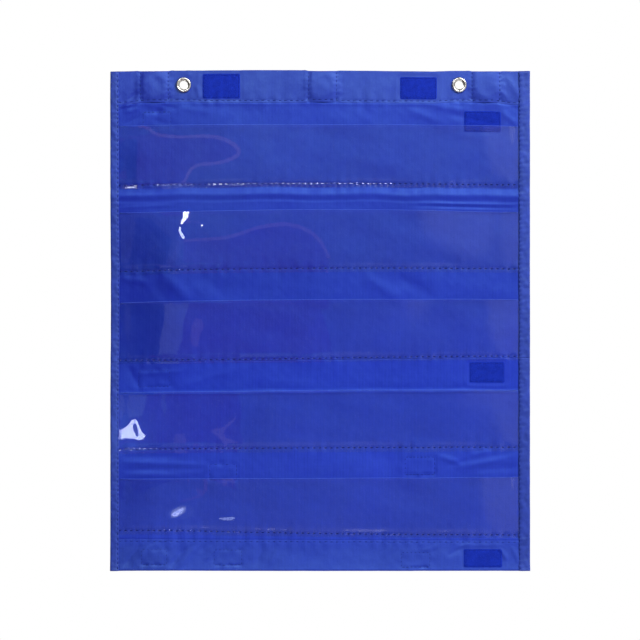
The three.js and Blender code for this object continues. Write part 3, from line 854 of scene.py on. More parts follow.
# How far each mouth stands off the cloth in mm, at places across the picture. The film closes slowly at its right end.
GAPE = [
    ((119, 135, 152, 185, 260, 400, 470, 492, 507, 519.5), (0.0, 1.3, 2.3, 3.2, 3.5, 3.4, 3.1, 2.6, 1.5, 0.0)),
    ((119, 132, 160, 182, 240, 330, 412, 450, 490, 508, 519.5), (0.0, 0.9, 2.9, 3.5, 3.9, 3.9, 3.7, 2.3, 1.0, 0.6, 0.0)),
    ((119, 132, 160, 200, 260, 340, 398, 440, 470, 496, 519.5), (0.0, 0.8, 2.5, 3.3, 3.6, 3.6, 3.2, 1.9, 1.9, 1.5, 0.0)),
    ((119, 135, 152, 190, 260, 380, 440, 480, 504, 519.5), (0.0, 0.9, 1.7, 2.6, 2.9, 2.8, 2.4, 1.4, 0.7, 0.0)),
    ((119, 135, 152, 190, 260, 380, 460, 490, 507, 519.5), (0.0, 1.1, 2.1, 3.0, 3.2, 3.1, 2.7, 2.1, 1.2, 0.0)),
]


def film_base(x, z):
    """The slow part of the hang, which the stiffer film shares with the cloth."""
    slow = hang(x, z)
    return slow - 0.2 * MID(x, z) * (0.4 + 0.6 * smooth(178, 120, np.abs(x))) * calm(x, z) * smooth(0, -40, z)


def pocket_shape(i):
    mouth, seam, foot = POCKETS[i]
    rip = RIP[i]
    at, out = across(np.array(GAPE[i][0], float)), np.array(GAPE[i][1], float)
    glinting = ([(154, 176, 1.40), (176, 192, 1.90), (206, 256, 1.60), (256, 294, 1.46), (294, 355, 1.15), (355, 376, 1.90), (376, 394, 1.45), (394, 440, 0.40)], [(124, 190, 0.66)], [(122, 200, 0.62), (200, 300, 0.55)], [(122, 240, 0.68)], [(119, 130, 1.1), (130, 200, 0.66), (224, 228, 1.25), (235, 239, 1.25), (344, 354, 0.8), (386, 402, 1.1)])[i]

    def shape(x, z, needled=True):  # needled: with what the needle does along the foot
        x, z = [np.array(v, float) for v in np.broadcast_arrays(x, z)]
        t = np.clip((mouth - z) / (mouth - seam), 0, 1)
        u = np.clip((x + 1.15) / 169.75, -1, 1)
        lean = profile(np.clip(x, at[0], at[-1]), at, out) * (1 - t ** 1.6)
        low = film_base(x, z)
        near = np.clip(smooth(5.5, 1.0, np.abs(z - seam)) + smooth(0.0, 1.0, seam - z), 0, 1)
        crease = crease_up(x, z) + crease_low(x, z)
        whole = hang(x, z)
        follow = near * ((whole - low) + 0.75 * crease + 0.25 * sewn(x, z)) + 0.35 * crease * (1 - near)
        clear = 0.42 * (1 - near) * (1 - np.abs(u) ** 14)
        soft = 0.07 * rip[3](x, z) * (1 - t ** 2) * (1 - u ** 6)
        k = (x / PITCH - np.round(x / PITCH)) * PITCH
        drop, wide, deep = (1.55, 2.00, 0.06) if i == 0 else (0.0, 0.95, 0.24)     # the needle has drawn the first seam less tight
        pits = deep * np.exp(-(k / 0.8) ** 2 - ((z - seam) / 0.8) ** 2)
        high = 0.10 + sum(0.46 * g * smooth(across(a) - 3, across(a) + 3, x) * smooth(across(b) + 3, across(b) - 3, x) for a, b, g in glinting)
        if i == 0:
            high = high * (1 - smooth(across(118), across(120), x) * smooth(across(140), across(137), x))
        lumps = -high * np.exp(-((z - seam + drop) / wide) ** 2) * np.abs(np.sin(math.pi * x / PITCH)) ** 1.5
        if not needled:
            return -0.12 + low - lean - clear + soft
        # a stiff fold under the end of the first seam
        below = np.interp(seam - z, (0.1, 0.7, 1.3, 1.9, 2.5, 3.1, 3.6), (0.0, 0.13, 0.32, 0.57, 0.80, 0.94, 1.08))
        ridge = -below * smooth(across(119.5), across(122), x) * smooth(across(139), across(136.5), x) if i == 0 else 0.0
        return -0.12 + low + follow + pits + ridge + lumps * (1 - np.abs(u) ** 14) - lean - clear + soft

    return shape


POCKET_Y = [pocket_shape(i) for i in range(5)]
POCKET_BODY = ["top_section", "middle_section", "middle_section", "bottom_section", "bottom_section"]
VX = np.unique(np.concatenate([[-176.6], np.arange(-180, 181) * 0.975, [176.6]]))


def tube(points, radius, sides=6):
    """Verts and quads of a tube round a line of points (n, 3), with closed ends."""
    p = np.asarray(points, float)
    n = len(p)
    r = np.broadcast_to(np.asarray(radius, float), (n,))
    t = np.gradient(p, axis=0)
    t /= np.linalg.norm(t, axis=1)[:, None] + 1e-12
    ref = np.array([0.0, 1.0, 0.0])
    a = np.cross(t, ref)
    a /= np.linalg.norm(a, axis=1)[:, None] + 1e-12
    b = np.cross(t, a)
    ang = np.arange(sides) * 2 * math.pi / sides
    v = p[:, None] + r[:, None, None] * (np.cos(ang)[None, :, None] * a[:, None] + np.sin(ang)[None, :, None] * b[:, None])
    f = grid_faces(n, sides, around=True).tolist()
    f.append(list(range(sides))[::-1])
    f.append([(n - 1) * sides + k for k in range(sides)])
    return v.reshape(-1, 3), f


def join(parts):
    vs, fs, at = [], [], 0
    for v, f in parts:
        vs.append(v)
        fs += [[k + at for k in q] for q in f]
        at += len(v)
    return np.concatenate(vs), fs


for i, (mouth, seam, foot) in enumerate(POCKETS):
    shape = POCKET_Y[i]
    zs = stations(mouth, foot, 1.1, 0.22, [(seam, 1.6)])
    X, Z = np.meshgrid(VX, zs)
    # the cut mouth isn't quite straight
    Z = Z + 0.1 * np.exp(-((Z - mouth) / 3.0) ** 2) * RIP[i][1](X, Z * 0 + 40)
    P = with_warp(X, shape(X, Z), Z)
    o = thicken(sheet_piece(f"pocket_{i + 1}_film", P, VINYL, flip=True), 0.26)
    o.modifiers["thickness"].use_rim = False
    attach(o, POCKET_BODY[i])
    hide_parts(f"pocket_{i + 1}")
    inner = (X[0] > BIND_L + 0.3) & (X[0] < BIND_R - 0.3)
    v, f = tube(P[0][inner] + [0, 0, 0.02], 0.19)
    edge = make(f"pocket_{i + 1}_cut_edge", row(v), f, VINYL_EDGE, POCKET_BODY[i])

# ---------------------------------------------------------------- stitches
def stitch(a, b, out, proud=0.13, sink=0.3, r=0.26):
    """One stitch between two needle holes: a bowed thread whose ends go into the cloth. out is +1 at the back."""
    s = np.array([0.04, 0.14, 0.32, 0.5, 0.68, 0.86, 0.96])
    a, b = np.asarray(a, float), np.asarray(b, float)
    p = a + (b - a) * s[:, None]
    lift = np.array([-sink, 0.02, proud * 0.9, proud, proud * 0.9, 0.02, -sink])
    p[:, 1] += out * lift
    return tube(p, r * np.array([0.75, 0.95, 1, 1, 1, 0.95, 0.75]), 6)


def run(points, surface, out=-1, gap=0.0, **kw):
    """Stitches through a line of needle holes (x, z); surface gives y of the outer face there."""
    parts = []
    pts = np.asarray(points, float)
    x, z = pts[:, 0], pts[:, 1]
    y = surface(x, z) + out * gap
    q = with_warp(x, y, z)
    rnd = np.random.RandomState(int(abs(x[0] * 7 + z[0] * 13)) % 99991)
    for k in range(len(q) - 1):
        ja, jb = rnd.uniform(-0.12, 0.12, 3), rnd.uniform(-0.12, 0.12, 3)
        ja[1] = jb[1] = 0
        parts.append(stitch(q[k] + ja, q[k + 1] + jb, out, **kw))
    return parts


def dashes(points, surface, out=-1, long=2.3, proud=0.06, **kw):
    """The same, where the thread shows only at the needle holes as a short dash, between two lumps of what it holds."""
    parts = []
    pts = np.asarray(points, float)
    way = pts[1] - pts[0]
    way = way / np.hypot(*way)
    y = surface(pts[:, 0], pts[:, 1])
    rnd = np.random.RandomState(int(abs(pts[0, 0] * 5 + pts[0, 1] * 11)) % 99991)
    for k in range(len(pts)):
        h = way * (0.5 * long * rnd.uniform(0.85, 1.12))
        a, b = pts[k] - h, pts[k] + h
        jog = rnd.uniform(-0.1, 0.1)
        q = with_warp(np.array([a[0], b[0]]), np.full(2, y[k]), np.array([a[1], b[1]]) + (jog if abs(way[0]) > 0.5 else 0))
        q[:, 0] += 0 if abs(way[0]) > 0.5 else jog
        parts.append(stitch(q[0], q[1], out, proud=proud, **kw))
    return parts


def seam_row(z, x0=BIND_L + 0.4, x1=BIND_R - 0.4):
    xs = np.arange(-45, 46) * PITCH
    xs = xs[(xs > x0) & (xs < x1)]
    return np.stack([xs, np.full_like(xs, z)], 1)


def box_row(box, inset=1.1, pitch=3.3):
    x0, x1, z0, z1 = box[0] + inset, box[1] - inset, box[2] + inset, box[3] - inset
    pts = []
    for (ax, az), (bx, bz) in (((x0, z0), (x1, z0)), ((x1, z0), (x1, z1)), ((x1, z1), (x0, z1)), ((x0, z1), (x0, z0))):
        n = max(2, round(math.hypot(bx - ax, bz - az) / pitch))
        for k in range(n):
            pts.append((ax + (bx - ax) * k / n, az + (bz - az) * k / n))
    pts.append(pts[0])
    return np.array(pts)


def box_sides(box, surface, sides, inset=1.1, pitch=3.3):
    """The stitches round a patch that is sewn on from behind: where they pull less they lie deeper in the weave."""
    x0, x1, z0, z1 = [v + inset * w for v, w in zip(box[:4], (1, -1, 1, -1))]
    parts = []
    for (ax, az, bx, bz), w in zip(((x0, z1, x1, z1), (x0, z0, x1, z0), (x0, z0, x0, z1), (x1, z0, x1, z1)), sides):
        n = max(2, round(math.hypot(bx - ax, bz - az) / pitch))
        t = (np.arange(n) + 0.5) / n
        line = np.stack([ax + (bx - ax) * t, az + (bz - az) * t], 1)
        parts += dashes(line, surface, long=1.1 + 1.3 * w, proud=-0.10 + 0.14 * w, r=0.2)
    return parts


def sew(name, parts, body, replaces=(), blend=None, thread=THREAD):
    v, f = join(parts)
    o = make(name, row(v), f, thread, None if blend else body)
    if blend:
        over_crease(o, blend)
    if replaces:
        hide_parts(*replaces)
    return o


def hem_front(x, z):
    return hem_y(x, z) - 0.11


def cloth_front(x, z):
    return cloth_y(x, z) - 0.11


def cloth_back(x, z):
    return cloth_y(x, z) + 0.11


parts = dashes(seam_row(TOP_SEAM), hem_front, long=3.1, r=0.3) + run(seam_row(TOP_SEAM), cloth_back, 1)
for mx, mz in TOP_MAGNETS:
    for s in (-11.7, 11.7):
        line = np.stack([np.full(7, mx + s), np.linspace(-2.0, -22.6, 7)], 1)
        parts += dashes(line, hem_front, long=2.3, proud=0.04, r=0.30) + run(line, cloth_back, 1)
sew("stitches_top_hem", parts, "top_section", ["thread_top_hem"])
sew("stitches_bottom_hem", dashes(seam_row(LOW_SEAM), hem_front) + run(seam_row(LOW_SEAM), cloth_back, 1), "bottom_section", ["thread_bottom_hem"])
for i, (mouth, seam, foot) in enumerate(POCKETS):
    front = lambda x, z, s=POCKET_Y[i]: s(x, z) - 0.13
    sew(f"stitches_pocket_{i + 1}", dashes(seam_row(seam), front, long=2.2, proud=0.2, sink=0.12, r=0.30) + run(seam_row(seam), cloth_back, 1), POCKET_BODY[i], [f"thread_pocket_{i + 1}"])


def bind_surface(side, out):
    inner = BIND_L if side < 0 else BIND_R

    def f(x, z):
        d = hang(x.copy(), z.copy()) + 0.6 * (crease_up(x, z) + crease_low(x, z)) + 0.1 * ROLL(x, z)
        return d + (-0.56 - 0.17 + 0.10 if out < 0 else 0.78 + 0.17 - 0.10)

    return f


for side, word in ((-1, "left"), (1, "right")):
    x = (BIND_L if side < 0 else BIND_R) + side * 0.55
    zs = -np.arange(1, 109) * EDGE_PITCH
    for part, sel, nodes, blend in (
        ("upper", zs[zs > SPLIT - 1], ("top", "middle"), "up"),
        ("lower", zs[zs < SPLIT + 2], ("bottom",), "low"),
    ):
        line = np.stack([np.full_like(sel, x), sel], 1)
        parts = dashes(line, bind_surface(side, -1), r=0.27, proud=0.12) + run(line, bind_surface(side, 1), 1, r=0.27)
        sew(f"stitches_binding_{word}_{part}", parts, None, [f"thread_binding_{word}_{p}" for p in nodes], blend)

# ---------------------------------------------------------------- hook-and-loop patches and lower pouches
def rounded_grid(box, r, step):
    """Points of a patch's face: a grid whose corners are drawn in to the corner radius."""
    x0, x1, z0, z1 = box[:4]
    hx, hz = (x1 - x0) / 2, (z1 - z0) / 2

    def line(h):
        inner = np.linspace(-(h - r), h - r, max(2, int(2 * (h - r) / step) + 1))
        c = np.linspace(0, 1, 5)[1:]
        return np.concatenate([-(h - r) - r * c[::-1], inner, (h - r) + r * c])

    U, V = np.meshgrid(line(hx), line(hz))
    a = np.clip((np.abs(U) - (hx - r)) / r, 0, 1)
    b = np.clip((np.abs(V) - (hz - r)) / r, 0, 1)
    a2, b2 = a * np.sqrt(1 - b * b / 2), b * np.sqrt(1 - a * a / 2)
    X = np.sign(U) * (np.minimum(np.abs(U), hx - r) + r * a2)
    Z = np.sign(V) * (np.minimum(np.abs(V), hz - r) + r * b2)
    return X + (x0 + x1) / 2, Z + (z0 + z1) / 2


def patch_base(name, box, under, thick, out, material, body, r=1.5, rough=0.05, seed=0, stitch_at=1.1, dome=None):
    """A tape patch on the surface under, with a turned edge and a groove where it is sewn down."""
    X, Z = rounded_grid(box, r, 1.0)
    g = -outline_gap(X, Z, box, r)
    lift = thick * smooth(-0.05, 0.55, g) ** 0.5
    groove = 0.32 * thick * np.exp(-((g - stitch_at) / 0.55) ** 2)
    n = waves(seed, 7.0)
    lift = lift - groove + rough * n(X, Z) * smooth(0.5, 2.0, g)
    if dome is not None:
        cx, cz, flat, foot, top = dome
        lift = lift + top * smooth(foot, flat, np.hypot(X - cx, Z - cz))
    base = under(X, Z)
    Y = base + out * np.maximum(lift, 0.0)
    P = with_warp(X, Y, Z)
    P0 = with_warp(X, base + out * -0.02, Z)
    nu, nv = X.shape
    rim = [(0, j) for j in range(nv)] + [(i, nv - 1) for i in range(1, nu)] + [(nu - 1, j) for j in range(nv - 2, -1, -1)] + [(i, 0) for i in range(nu - 2, 0, -1)]
    top = P.reshape(-1, 3)
    bot = P0.reshape(-1, 3)
    f_top = grid_faces(nu, nv, flip=out < 0).tolist()
    f_bot = (grid_faces(nu, nv, flip=out > 0) + len(top)).tolist()
    ring = [i * nv + j for i, j in rim]
    side = []
    for k in range(len(ring)):
        a, b = ring[k], ring[(k + 1) % len(ring)]
        q = [a, b, b + len(top), a + len(top)]
        side.append(q if out > 0 else q[::-1])
    o = make(name, row(np.concatenate([top, bot])), f_top + f_bot + side, material, body)
    return o, (lambda x, z: under(x, z) + out * (thick + (0 if dome is None else dome[4] * smooth(dome[3], dome[2], np.hypot(x - dome[0], z - dome[1])))))


def loops_mesh(box, surface, seed, step=1.25, high=0.5, r=0.085):
    rnd = np.random.RandomState(seed)
    parts = []
    x0, x1, z0, z1 = box[:4]
    xs, zs = np.arange(x0 + 1.9, x1 - 1.7, step), np.arange(z0 + 1.9, z1 - 1.7, step)
    for ix, cx in enumerate(xs):
        for cz in zs:
            x = cx + rnd.uniform(-0.35, 0.35)
            z = cz + rnd.uniform(-0.35, 0.35) + (step / 2 if ix % 2 else 0) * 0.6
            if z > z1 - 1.5:
                continue
            a = rnd.uniform(0, math.pi)
            w = rnd.uniform(0.35, 0.62)
            h = high * rnd.uniform(0.7, 1.15)
            t = np.linspace(0, math.pi, 6)
            lean = rnd.uniform(-0.3, 0.3, 2)
            y = float(surface(np.array([x]), np.array([z]))[0])
            p = np.stack([x + w * np.cos(t) * math.cos(a) + lean[0] * np.sin(t), y - h * np.sin(t) + 0.12, z + w * np.cos(t) * math.sin(a) + lean[1] * np.sin(t)], 1)
            parts.append(tube(with_warp(p[:, 0], p[:, 1], p[:, 2]), r, 4))
    return join(parts)


def hooks_mesh(box, surface, seed):
    rnd = np.random.RandomState(seed)
    parts = []
    x0, x1, z0, z1 = box[:4]
    for ix, x in enumerate(np.arange(x0 + 2.2, x1 - 2.0, 1.5)):
        for z in np.arange(z0 + 2.2 + (0.75 if ix % 2 else 0), z1 - 2.0, 1.5):
            y = float(surface(np.array([x]), np.array([z]))[0])
            way = 1 if ix % 2 else -1
            j = rnd.uniform(-0.06, 0.06, 2)
            p = np.array([[0, -0.08, 0], [0.02, 0.3, 0], [0.08, 0.5, 0], [0.25, 0.62, 0], [0.42, 0.55, 0], [0.48, 0.4, 0]])
            q = np.stack([x + j[0] + p[:, 2], y + p[:, 1], z + j[1] + way * (p[:, 0] - 0.2)], 1)
            parts.append(tube(with_warp(q[:, 0], q[:, 1], q[:, 2]), np.array([0.13, 0.11, 0.1, 0.1, 0.09, 0.06]), 4))
    return join(parts)


for n, (word, b) in enumerate(LOOPS.items()):
    body = b[5]
    under = hem_front if b[4] < -0.1 else cloth_front
    base, top = patch_base(f"loop_patch_{word}_tape", b, under, 0.5, -1, LOOP, body, seed=100 + n)
    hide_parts(f"loop_patch_{word}")
    v, f = loops_mesh(b, top, 200 + n)
    o = make(f"loop_patch_{word}_pile", row(v), f, LOOP, body)
    sew(f"stitches_loop_{word}", run(box_row(b), lambda x, z, u=under: u(x, z) - 0.34) + run(box_row(b), cloth_back, 1), body, thread=PATCH_THREAD)

for n, (word, b) in enumerate(HOOKS.items()):
    body = b[4]
    base, top = patch_base(f"hook_patch_{word}_tape", b, cloth_back, 0.62, 1, HOOK, body, r=1.3, seed=120 + n)
    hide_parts(f"hook_patch_{word}")
    v, f = hooks_mesh(b, top, 220 + n)
    o = make(f"hook_patch_{word}_hooks", row(v), f, HOOK, body)
    hem = b[2] < -400
    front = hem_front if hem else cloth_front
    sew(f"stitches_hook_{word}", box_sides(b, front, PULLS[word]) + run(box_row(b), lambda x, z: cloth_back(x, z) + 0.42, 1), body)

for n, (word, b) in enumerate(POUCHES.items()):
    cx, cz = (b[0] + b[1]) / 2, (b[2] + b[3]) / 2
    base, top = patch_base(f"magnet_pouch_{word}_cloth", b, cloth_back, 0.3, 1, CLOTH, "bottom_section", r=1.2, rough=0.08, seed=140 + n, stitch_at=1.2, dome=(cx, cz, 6.2, 7.6, 1.3))
    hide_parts(f"magnet_pouch_lower_{word}")
    sew(f"stitches_pouch_{word}", box_sides(b, cloth_front, PULLS[word]) + run(box_row(b), lambda x, z: cloth_back(x, z) + 0.2, 1), "bottom_section")

# ---------------------------------------------------------------- eyelets
def lathe(name, profile, cx, cz, material, body, turns=72):
    prof = np.asarray(profile, float)
    a = np.arange(turns) * 2 * math.pi / turns
    v = np.stack([cx + prof[:, None, 0] * np.cos(a), np.broadcast_to(prof[:, None, 1], (len(prof), turns)), cz + prof[:, None, 0] * np.sin(a)], -1)
    n = len(prof)
    i, j = np.meshgrid(np.arange(n), np.arange(turns), indexing="ij")
    i2, j2 = (i + 1) % n, (j + 1) % turns
    f = np.stack([i * turns + j, i * turns + j2, i2 * turns + j2, i2 * turns + j], -1).reshape(-1, 4)
    return make(name, row(v.reshape(-1, 3)), f, material, body)


FLANGE = [
    (3.55, 1.0), (3.5, 0.5), (3.5, 0.0), (3.55, -0.35), (3.68, -0.7), (3.9, -1.05), (4.2, -1.38), (4.55, -1.66), (4.95, -1.84), (5.35, -1.9), (5.75, -1.82), (6.1, -1.58), (6.36, -1.22), (6.48, -0.85), (6.46, -0.62),
    (6.3, -0.55), (5.9, -0.66), (5.2, -0.8), (4.5, -0.8), (4.12, -0.55), (4.02, -0.1), (4.0, 0.5), (4.02, 1.1), (4.2, 1.32), (4.6, 1.38), (5.0, 1.34), (5.2, 1.46), (5.1, 1.62), (4.7, 1.74), (4.2, 1.72), (3.8, 1.5), (3.6, 1.25),
]
WASHER = [(4.3, 0.6), (4.32, 1.0), (4.5, 1.18), (5.0, 1.25), (5.6, 1.2), (6.15, 1.0), (6.45, 0.78), (6.5, 0.62), (6.4, 0.55), (5.6, 0.6), (4.8, 0.6)]
for (cx, cz), word in zip(EYELETS, ("left", "right")):
    o = lathe(f"eyelet_{word}_barrel", FLANGE[::-1], cx, cz, NICKEL, "top_section")
    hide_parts(f"eyelet_{word}")
    o = lathe(f"eyelet_{word}_back_ring", WASHER, cx, cz, NICKEL, "top_section")
    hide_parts(f"eyelet_washer_{word}")

for o in bpy.data.objects:
    if o.type == "MESH" and o.name.startswith("magnet_") and not o.name.startswith("magnet_pouch"):
        if len(o.material_slots):
            for s in o.material_slots:
                s.material = FERRITE

# ---------------------------------------------------------------- floor, light, camera
fm, ft = nodes_of("studio_floor")
fp = ft.nodes.new("ShaderNodeBsdfPrincipled")
fp.inputs["Base Color"].default_value = (0.80, 0.80, 0.80, 1)
fp.inputs["Roughness"].default_value = 0.7
ft.links.new(fp.outputs[0], ft.nodes.new("ShaderNodeOutputMaterial").inputs["Surface"])
n = 96
ang = np.arange(n) * 2 * math.pi / n
disc = [(0.0, 0.1, -0.95)] + [(0.9 * math.cos(a), 0.1 + 0.9 * math.sin(a), -0.95) for a in ang]
floor = make("floor", disc, [[0, k + 1, (k + 1) % n + 1] for k in range(n)], fm, smooth_faces=False)


def softbox(name, place, aim, w, h, radiance, diffuse=True, color=(1, 1, 1)):
    l = bpy.data.lights.new(name, "AREA")
    l.shape, l.size, l.size_y = "RECTANGLE", w, h
    l.energy = radiance * math.pi * w * h
    l.color = color
    o = bpy.data.objects.new(name, l)
    bpy.context.scene.collection.objects.link(o)
    from mathutils import Vector
    o.location = place
    o.rotation_euler = (Vector(aim) - Vector(place)).to_track_quat("-Z", "Y").to_euler()
    o.visible_camera = False
    o.visible_diffuse = diffuse
    return o


AIM = (0.0, 0.0, -0.2)
softbox("key_softbox", (0.95, -1.35, 1.15), AIM, 1.1, 0.9, 12.4)
softbox("top_strip", tuple(TOP_BOX), AIM, 0.36, 0.2, 7.0)
softbox("left_box", tuple(LEFT_BOX), AIM, 0.15, 0.30, 10.0, diffuse=False)
softbox("right_panel", (1.25, -1.0, -0.25), AIM, 1.2, 1.6, 0.35)
softbox("back_softbox", (-0.9, 1.5, 0.9), AIM, 1.2, 1.2, 7.0)


def mirrored(i, px, py):
    """The place on the plane of the eye that the film of pocket i mirrors at this place of the picture."""
    x = across(np.asarray(px, float))
    z = down(np.asarray(py, float))
    z = z - warp(x, z)
    e, f = 0.5, POCKET_Y[i]
    a = (f(x + e, z, False) - f(x - e, z, False)) / (2 * e)
    b = (f(x, z + e, False) - f(x, z - e, False)) / (2 * e)
    p = row(np.stack([x, f(x, z), z + warp(x, z)], -1))
    v = EYE - p
    v = v / np.linalg.norm(v, axis=-1, keepdims=True)
    n_ = np.stack([a, -np.ones_like(a), b], -1)
    n_ = n_ / np.linalg.norm(n_, axis=-1, keepdims=True)
    l = 2 * (v * n_).sum(-1, keepdims=True) * n_ - v
    return p, l


def card(name, i, outline, color, deep=-0.105, width=None, closed=True):
    """A reflector card beside the camera. Its outline is given by where the film shows it."""
    pts = np.array(outline, float)
    if closed:
        pts = np.concatenate([pts, pts[:1]])
    d = np.concatenate([[0], np.cumsum(np.hypot(*np.diff(pts, axis=0).T))])
    s_ = np.linspace(0, d[-1], max(8, int(d[-1] / 1.5)))
    x, y = np.interp(s_, d, pts[:, 0]), np.interp(s_, d, pts[:, 1])
    if closed and width is None:
        p, l = mirrored(i, x[:-1], y[:-1])
        q = p + l * ((deep - p[:, 1]) / l[:, 1])[:, None]
        faces = [list(range(len(q)))]
    else:
        for _ in range(2):                      # round the corners of a thin line
            x[1:-1] = (x[:-2] + 2 * x[1:-1] + x[2:]) / 4
            y[1:-1] = (y[:-2] + 2 * y[1:-1] + y[2:]) / 4
        tx, ty = np.gradient(x), np.gradient(y)
        n_ = np.hypot(tx, ty) + 1e-9
        w_ = np.interp(s_, np.linspace(0, d[-1], len(width)), width) / 2
        q = []
        for side in (-1, 1):
            p, l = mirrored(i, x - side * w_ * ty / n_, y + side * w_ * tx / n_)
            q.append(p + l * ((deep - p[:, 1]) / l[:, 1])[:, None])
        m = len(x)
        q = np.concatenate(q)
        faces = [[k, k + 1, m + k + 1, m + k] for k in range(m - 1)]
    c = bpy.data.materials.new(name)
    c.use_nodes = True
    ct = c.node_tree
    ct.nodes.clear()
    em = ct.nodes.new("ShaderNodeEmission")
    em.inputs["Color"].default_value = (*color, 1)
    em.inputs["Strength"].default_value = 1.0
    ct.links.new(em.outputs[0], ct.nodes.new("ShaderNodeOutputMaterial").inputs["Surface"])
    m_ = bpy.data.meshes.new(name)
    m_.from_pydata(q.tolist(), [], faces)
    m_.update()
    m_.materials.append(c)
    o = bpy.data.objects.new(name, m_)
    bpy.context.scene.collection.objects.link(o)
    o.visible_camera = o.visible_diffuse = o.visible_shadow = o.visible_transmission = False
    return o


DIM, BLACK, PALE = (0.125, 0.0, 0.022), (0.0, 0.0, 0.004), (0.28, 0.30, 0.37)
TONGUE = [(146, 127), (150, 129.5), (154, 133.5), (160, 135.5), (172, 137), (185, 137.3), (200, 136.5), (215, 137), (226, 140), (234, 144.5), (239.5, 150.5), (239, 154.5), (232, 159), (222, 162.5), (210, 164), (200, 164.5), (193, 167.5), (188.5, 173), (186, 181)]
SWELL = [(184, 240.5), (200, 239.8), (225, 238), (240, 234), (255, 228.5), (270, 225.5), (285, 224), (300, 227), (312, 233), (322, 243), (329, 258)]
card("card_1_dim", 0, [(120, 138), (128, 137.5), (138, 136), (150, 134)] + TONGUE[2:] + [(186, 182.5), (120, 182.5)], DIM)
card("card_1_dark", 0, [(125.5, 139), (137, 139), (137.5, 150), (136, 182.5), (127, 182.5), (126, 160)], BLACK, deep=-0.100)
card("card_1_line", 0, [(138, 126.3)] + TONGUE, (0.54, 0.29, 0.38), deep=-0.094, width=(2.2, 3.2, 2.8, 3.2, 4.2, 3.4, 2.8, 3.2), closed=False)
card("card_2_dim", 1, SWELL + [(329, 263), (184, 263)], DIM)
card("card_2_dark", 1, [(120, 218), (150, 218), (160, 228), (172, 240), (166, 264), (120, 265)], BLACK)
card("card_2_streak", 1, [(178, 240), (184, 241), (176, 262.5), (168, 263.5), (174, 252)], (0.17, 0.15, 0.20), deep=-0.100)
card("card_2_line", 1, SWELL, (0.40, 0.20, 0.28), deep=-0.094, width=(2.4, 3.2, 3.4, 4.0, 3.6, 3.0), closed=False)
card("card_2_fine", 1, [(186, 223), (192, 221.5), (201, 223)], (0.36, 0.20, 0.26), deep=-0.094, width=(0.8, 0.8), closed=False)
card("card_3_dim", 2, [(163, 303.5), (312, 302), (322, 312), (330, 335), (332, 357), (163, 358.5)], DIM)
card("card_3_dark", 2, [(121, 304), (164, 303.5), (165, 312), (163.5, 325), (160, 340), (160, 350), (157, 359), (121, 359)], BLACK, deep=-0.100)
card("card_3_band", 2, [(164, 303.5), (189, 303), (187, 312), (183, 325), (183, 338), (178, 350), (175, 358.5), (157, 359), (160, 350), (160, 340), (163.5, 325), (165, 312)], PALE, deep=-0.094)
card("card_3_blob", 2, [(191, 338), (192, 325), (196, 318), (202, 319), (204, 326), (200, 336), (198, 346), (193, 346)], (0.36, 0.15, 0.19), deep=-0.088)
card("card_4_dim", 3, [(121, 396.5), (238, 395.5), (242, 410), (240, 430), (244, 447), (121, 448)], DIM)
card("card_4_pale", 3, [(123, 397), (146.5, 397), (145, 406), (142, 416), (129, 418), (126, 408)], PALE, deep=-0.100)
card("card_4_slip", 3, [(161, 397), (165, 397), (168, 408), (165, 416), (162, 408)], (0.2, 0.17, 0.18), deep=-0.100)
card("card_4_mark", 3, [(174, 447), (175, 434), (184, 433), (187, 440), (184, 447)], (0.34, 0.17, 0.18), deep=-0.094)
card("card_4_arrow", 3, [(210, 430.5), (217, 428), (224, 426.5), (231, 421), (237, 416), (233, 423), (226, 429), (223, 433), (228, 438), (238, 443), (240, 446), (230, 446), (222, 441), (218, 436), (213, 433)], (0.42, 0.22, 0.26), deep=-0.094)
card("card_5_dim", 4, [(124, 480), (172, 480), (150, 489), (130, 496), (122, 497)], (0.05, 0.005, 0.03))
card("card_5_line", 4, [(206, 478), (206, 490), (202, 495), (192, 499), (180, 502)], (0.34, 0.16, 0.2), deep=-0.094, width=(3.0, 3.0, 2.5, 1.5, 1.0), closed=False)
def plain_card(name, corners, color):
    m_ = bpy.data.meshes.new(name)
    m_.from_pydata(corners, [], [list(range(len(corners)))])
    m_.update()
    o = card(name, 0, [(200, 150), (210, 150), (210, 160)], color)
    old, o.data = o.data, m_
    m_.materials.append(old.materials[0])
    bpy.data.meshes.remove(old)
    return o


plain_card("card_high", [(-0.29, -1.42, 0.48), (0.15, -1.42, 0.48), (0.15, -1.42, 0.70), (-0.29, -1.42, 0.70)], (13.5, 14.2, 15.8))
plain_card("card_high_left", [(-0.56, -1.41, 0.34), (-0.32, -1.41, 0.34), (-0.32, -1.41, 0.68), (-0.56, -1.41, 0.68)], (8.0, 8.3, 8.8))
# small bright windows far off, which the film throws back as hard white spots
WHITE = (15.0, 15.5, 17.0)
card("spot_2_upper", 1, [(183.5, 212.5), (189.5, 212.5), (188.5, 217), (185.5, 221), (182, 225), (181, 223.5), (182.8, 218)], WHITE, deep=-0.080)
card("spot_2_lower", 1, [(179.5, 227), (180.8, 227), (182, 232), (184.5, 236.5), (184.8, 239), (183.4, 239), (180.8, 235.5), (179.2, 231)], (9.0, 10.0, 13.0), deep=-0.080)
card("spot_2_dot", 1, [(201.2, 225), (203, 225), (203, 226.8), (201.2, 227)], WHITE, deep=-0.080)
card("spot_4_horn", 3, [(120.5, 430), (124.5, 428), (129, 424.5), (131, 420), (134, 419.2), (137, 420.5), (139.5, 426), (141.5, 431.5), (145.5, 435), (144, 438.3), (141, 440), (137.5, 440), (133, 438.4), (127, 437.8), (120.8, 439.6)], (8.0, 8.6, 11.5), deep=-0.046)
card("card_4_hole", 3, [(132.8, 424), (134.5, 423), (136.4, 424.8), (138.2, 430), (138.8, 435), (138, 436.8), (136.3, 436.4), (134, 432), (132.7, 428)], (0.25, 0.16, 0.2), deep=-0.044)
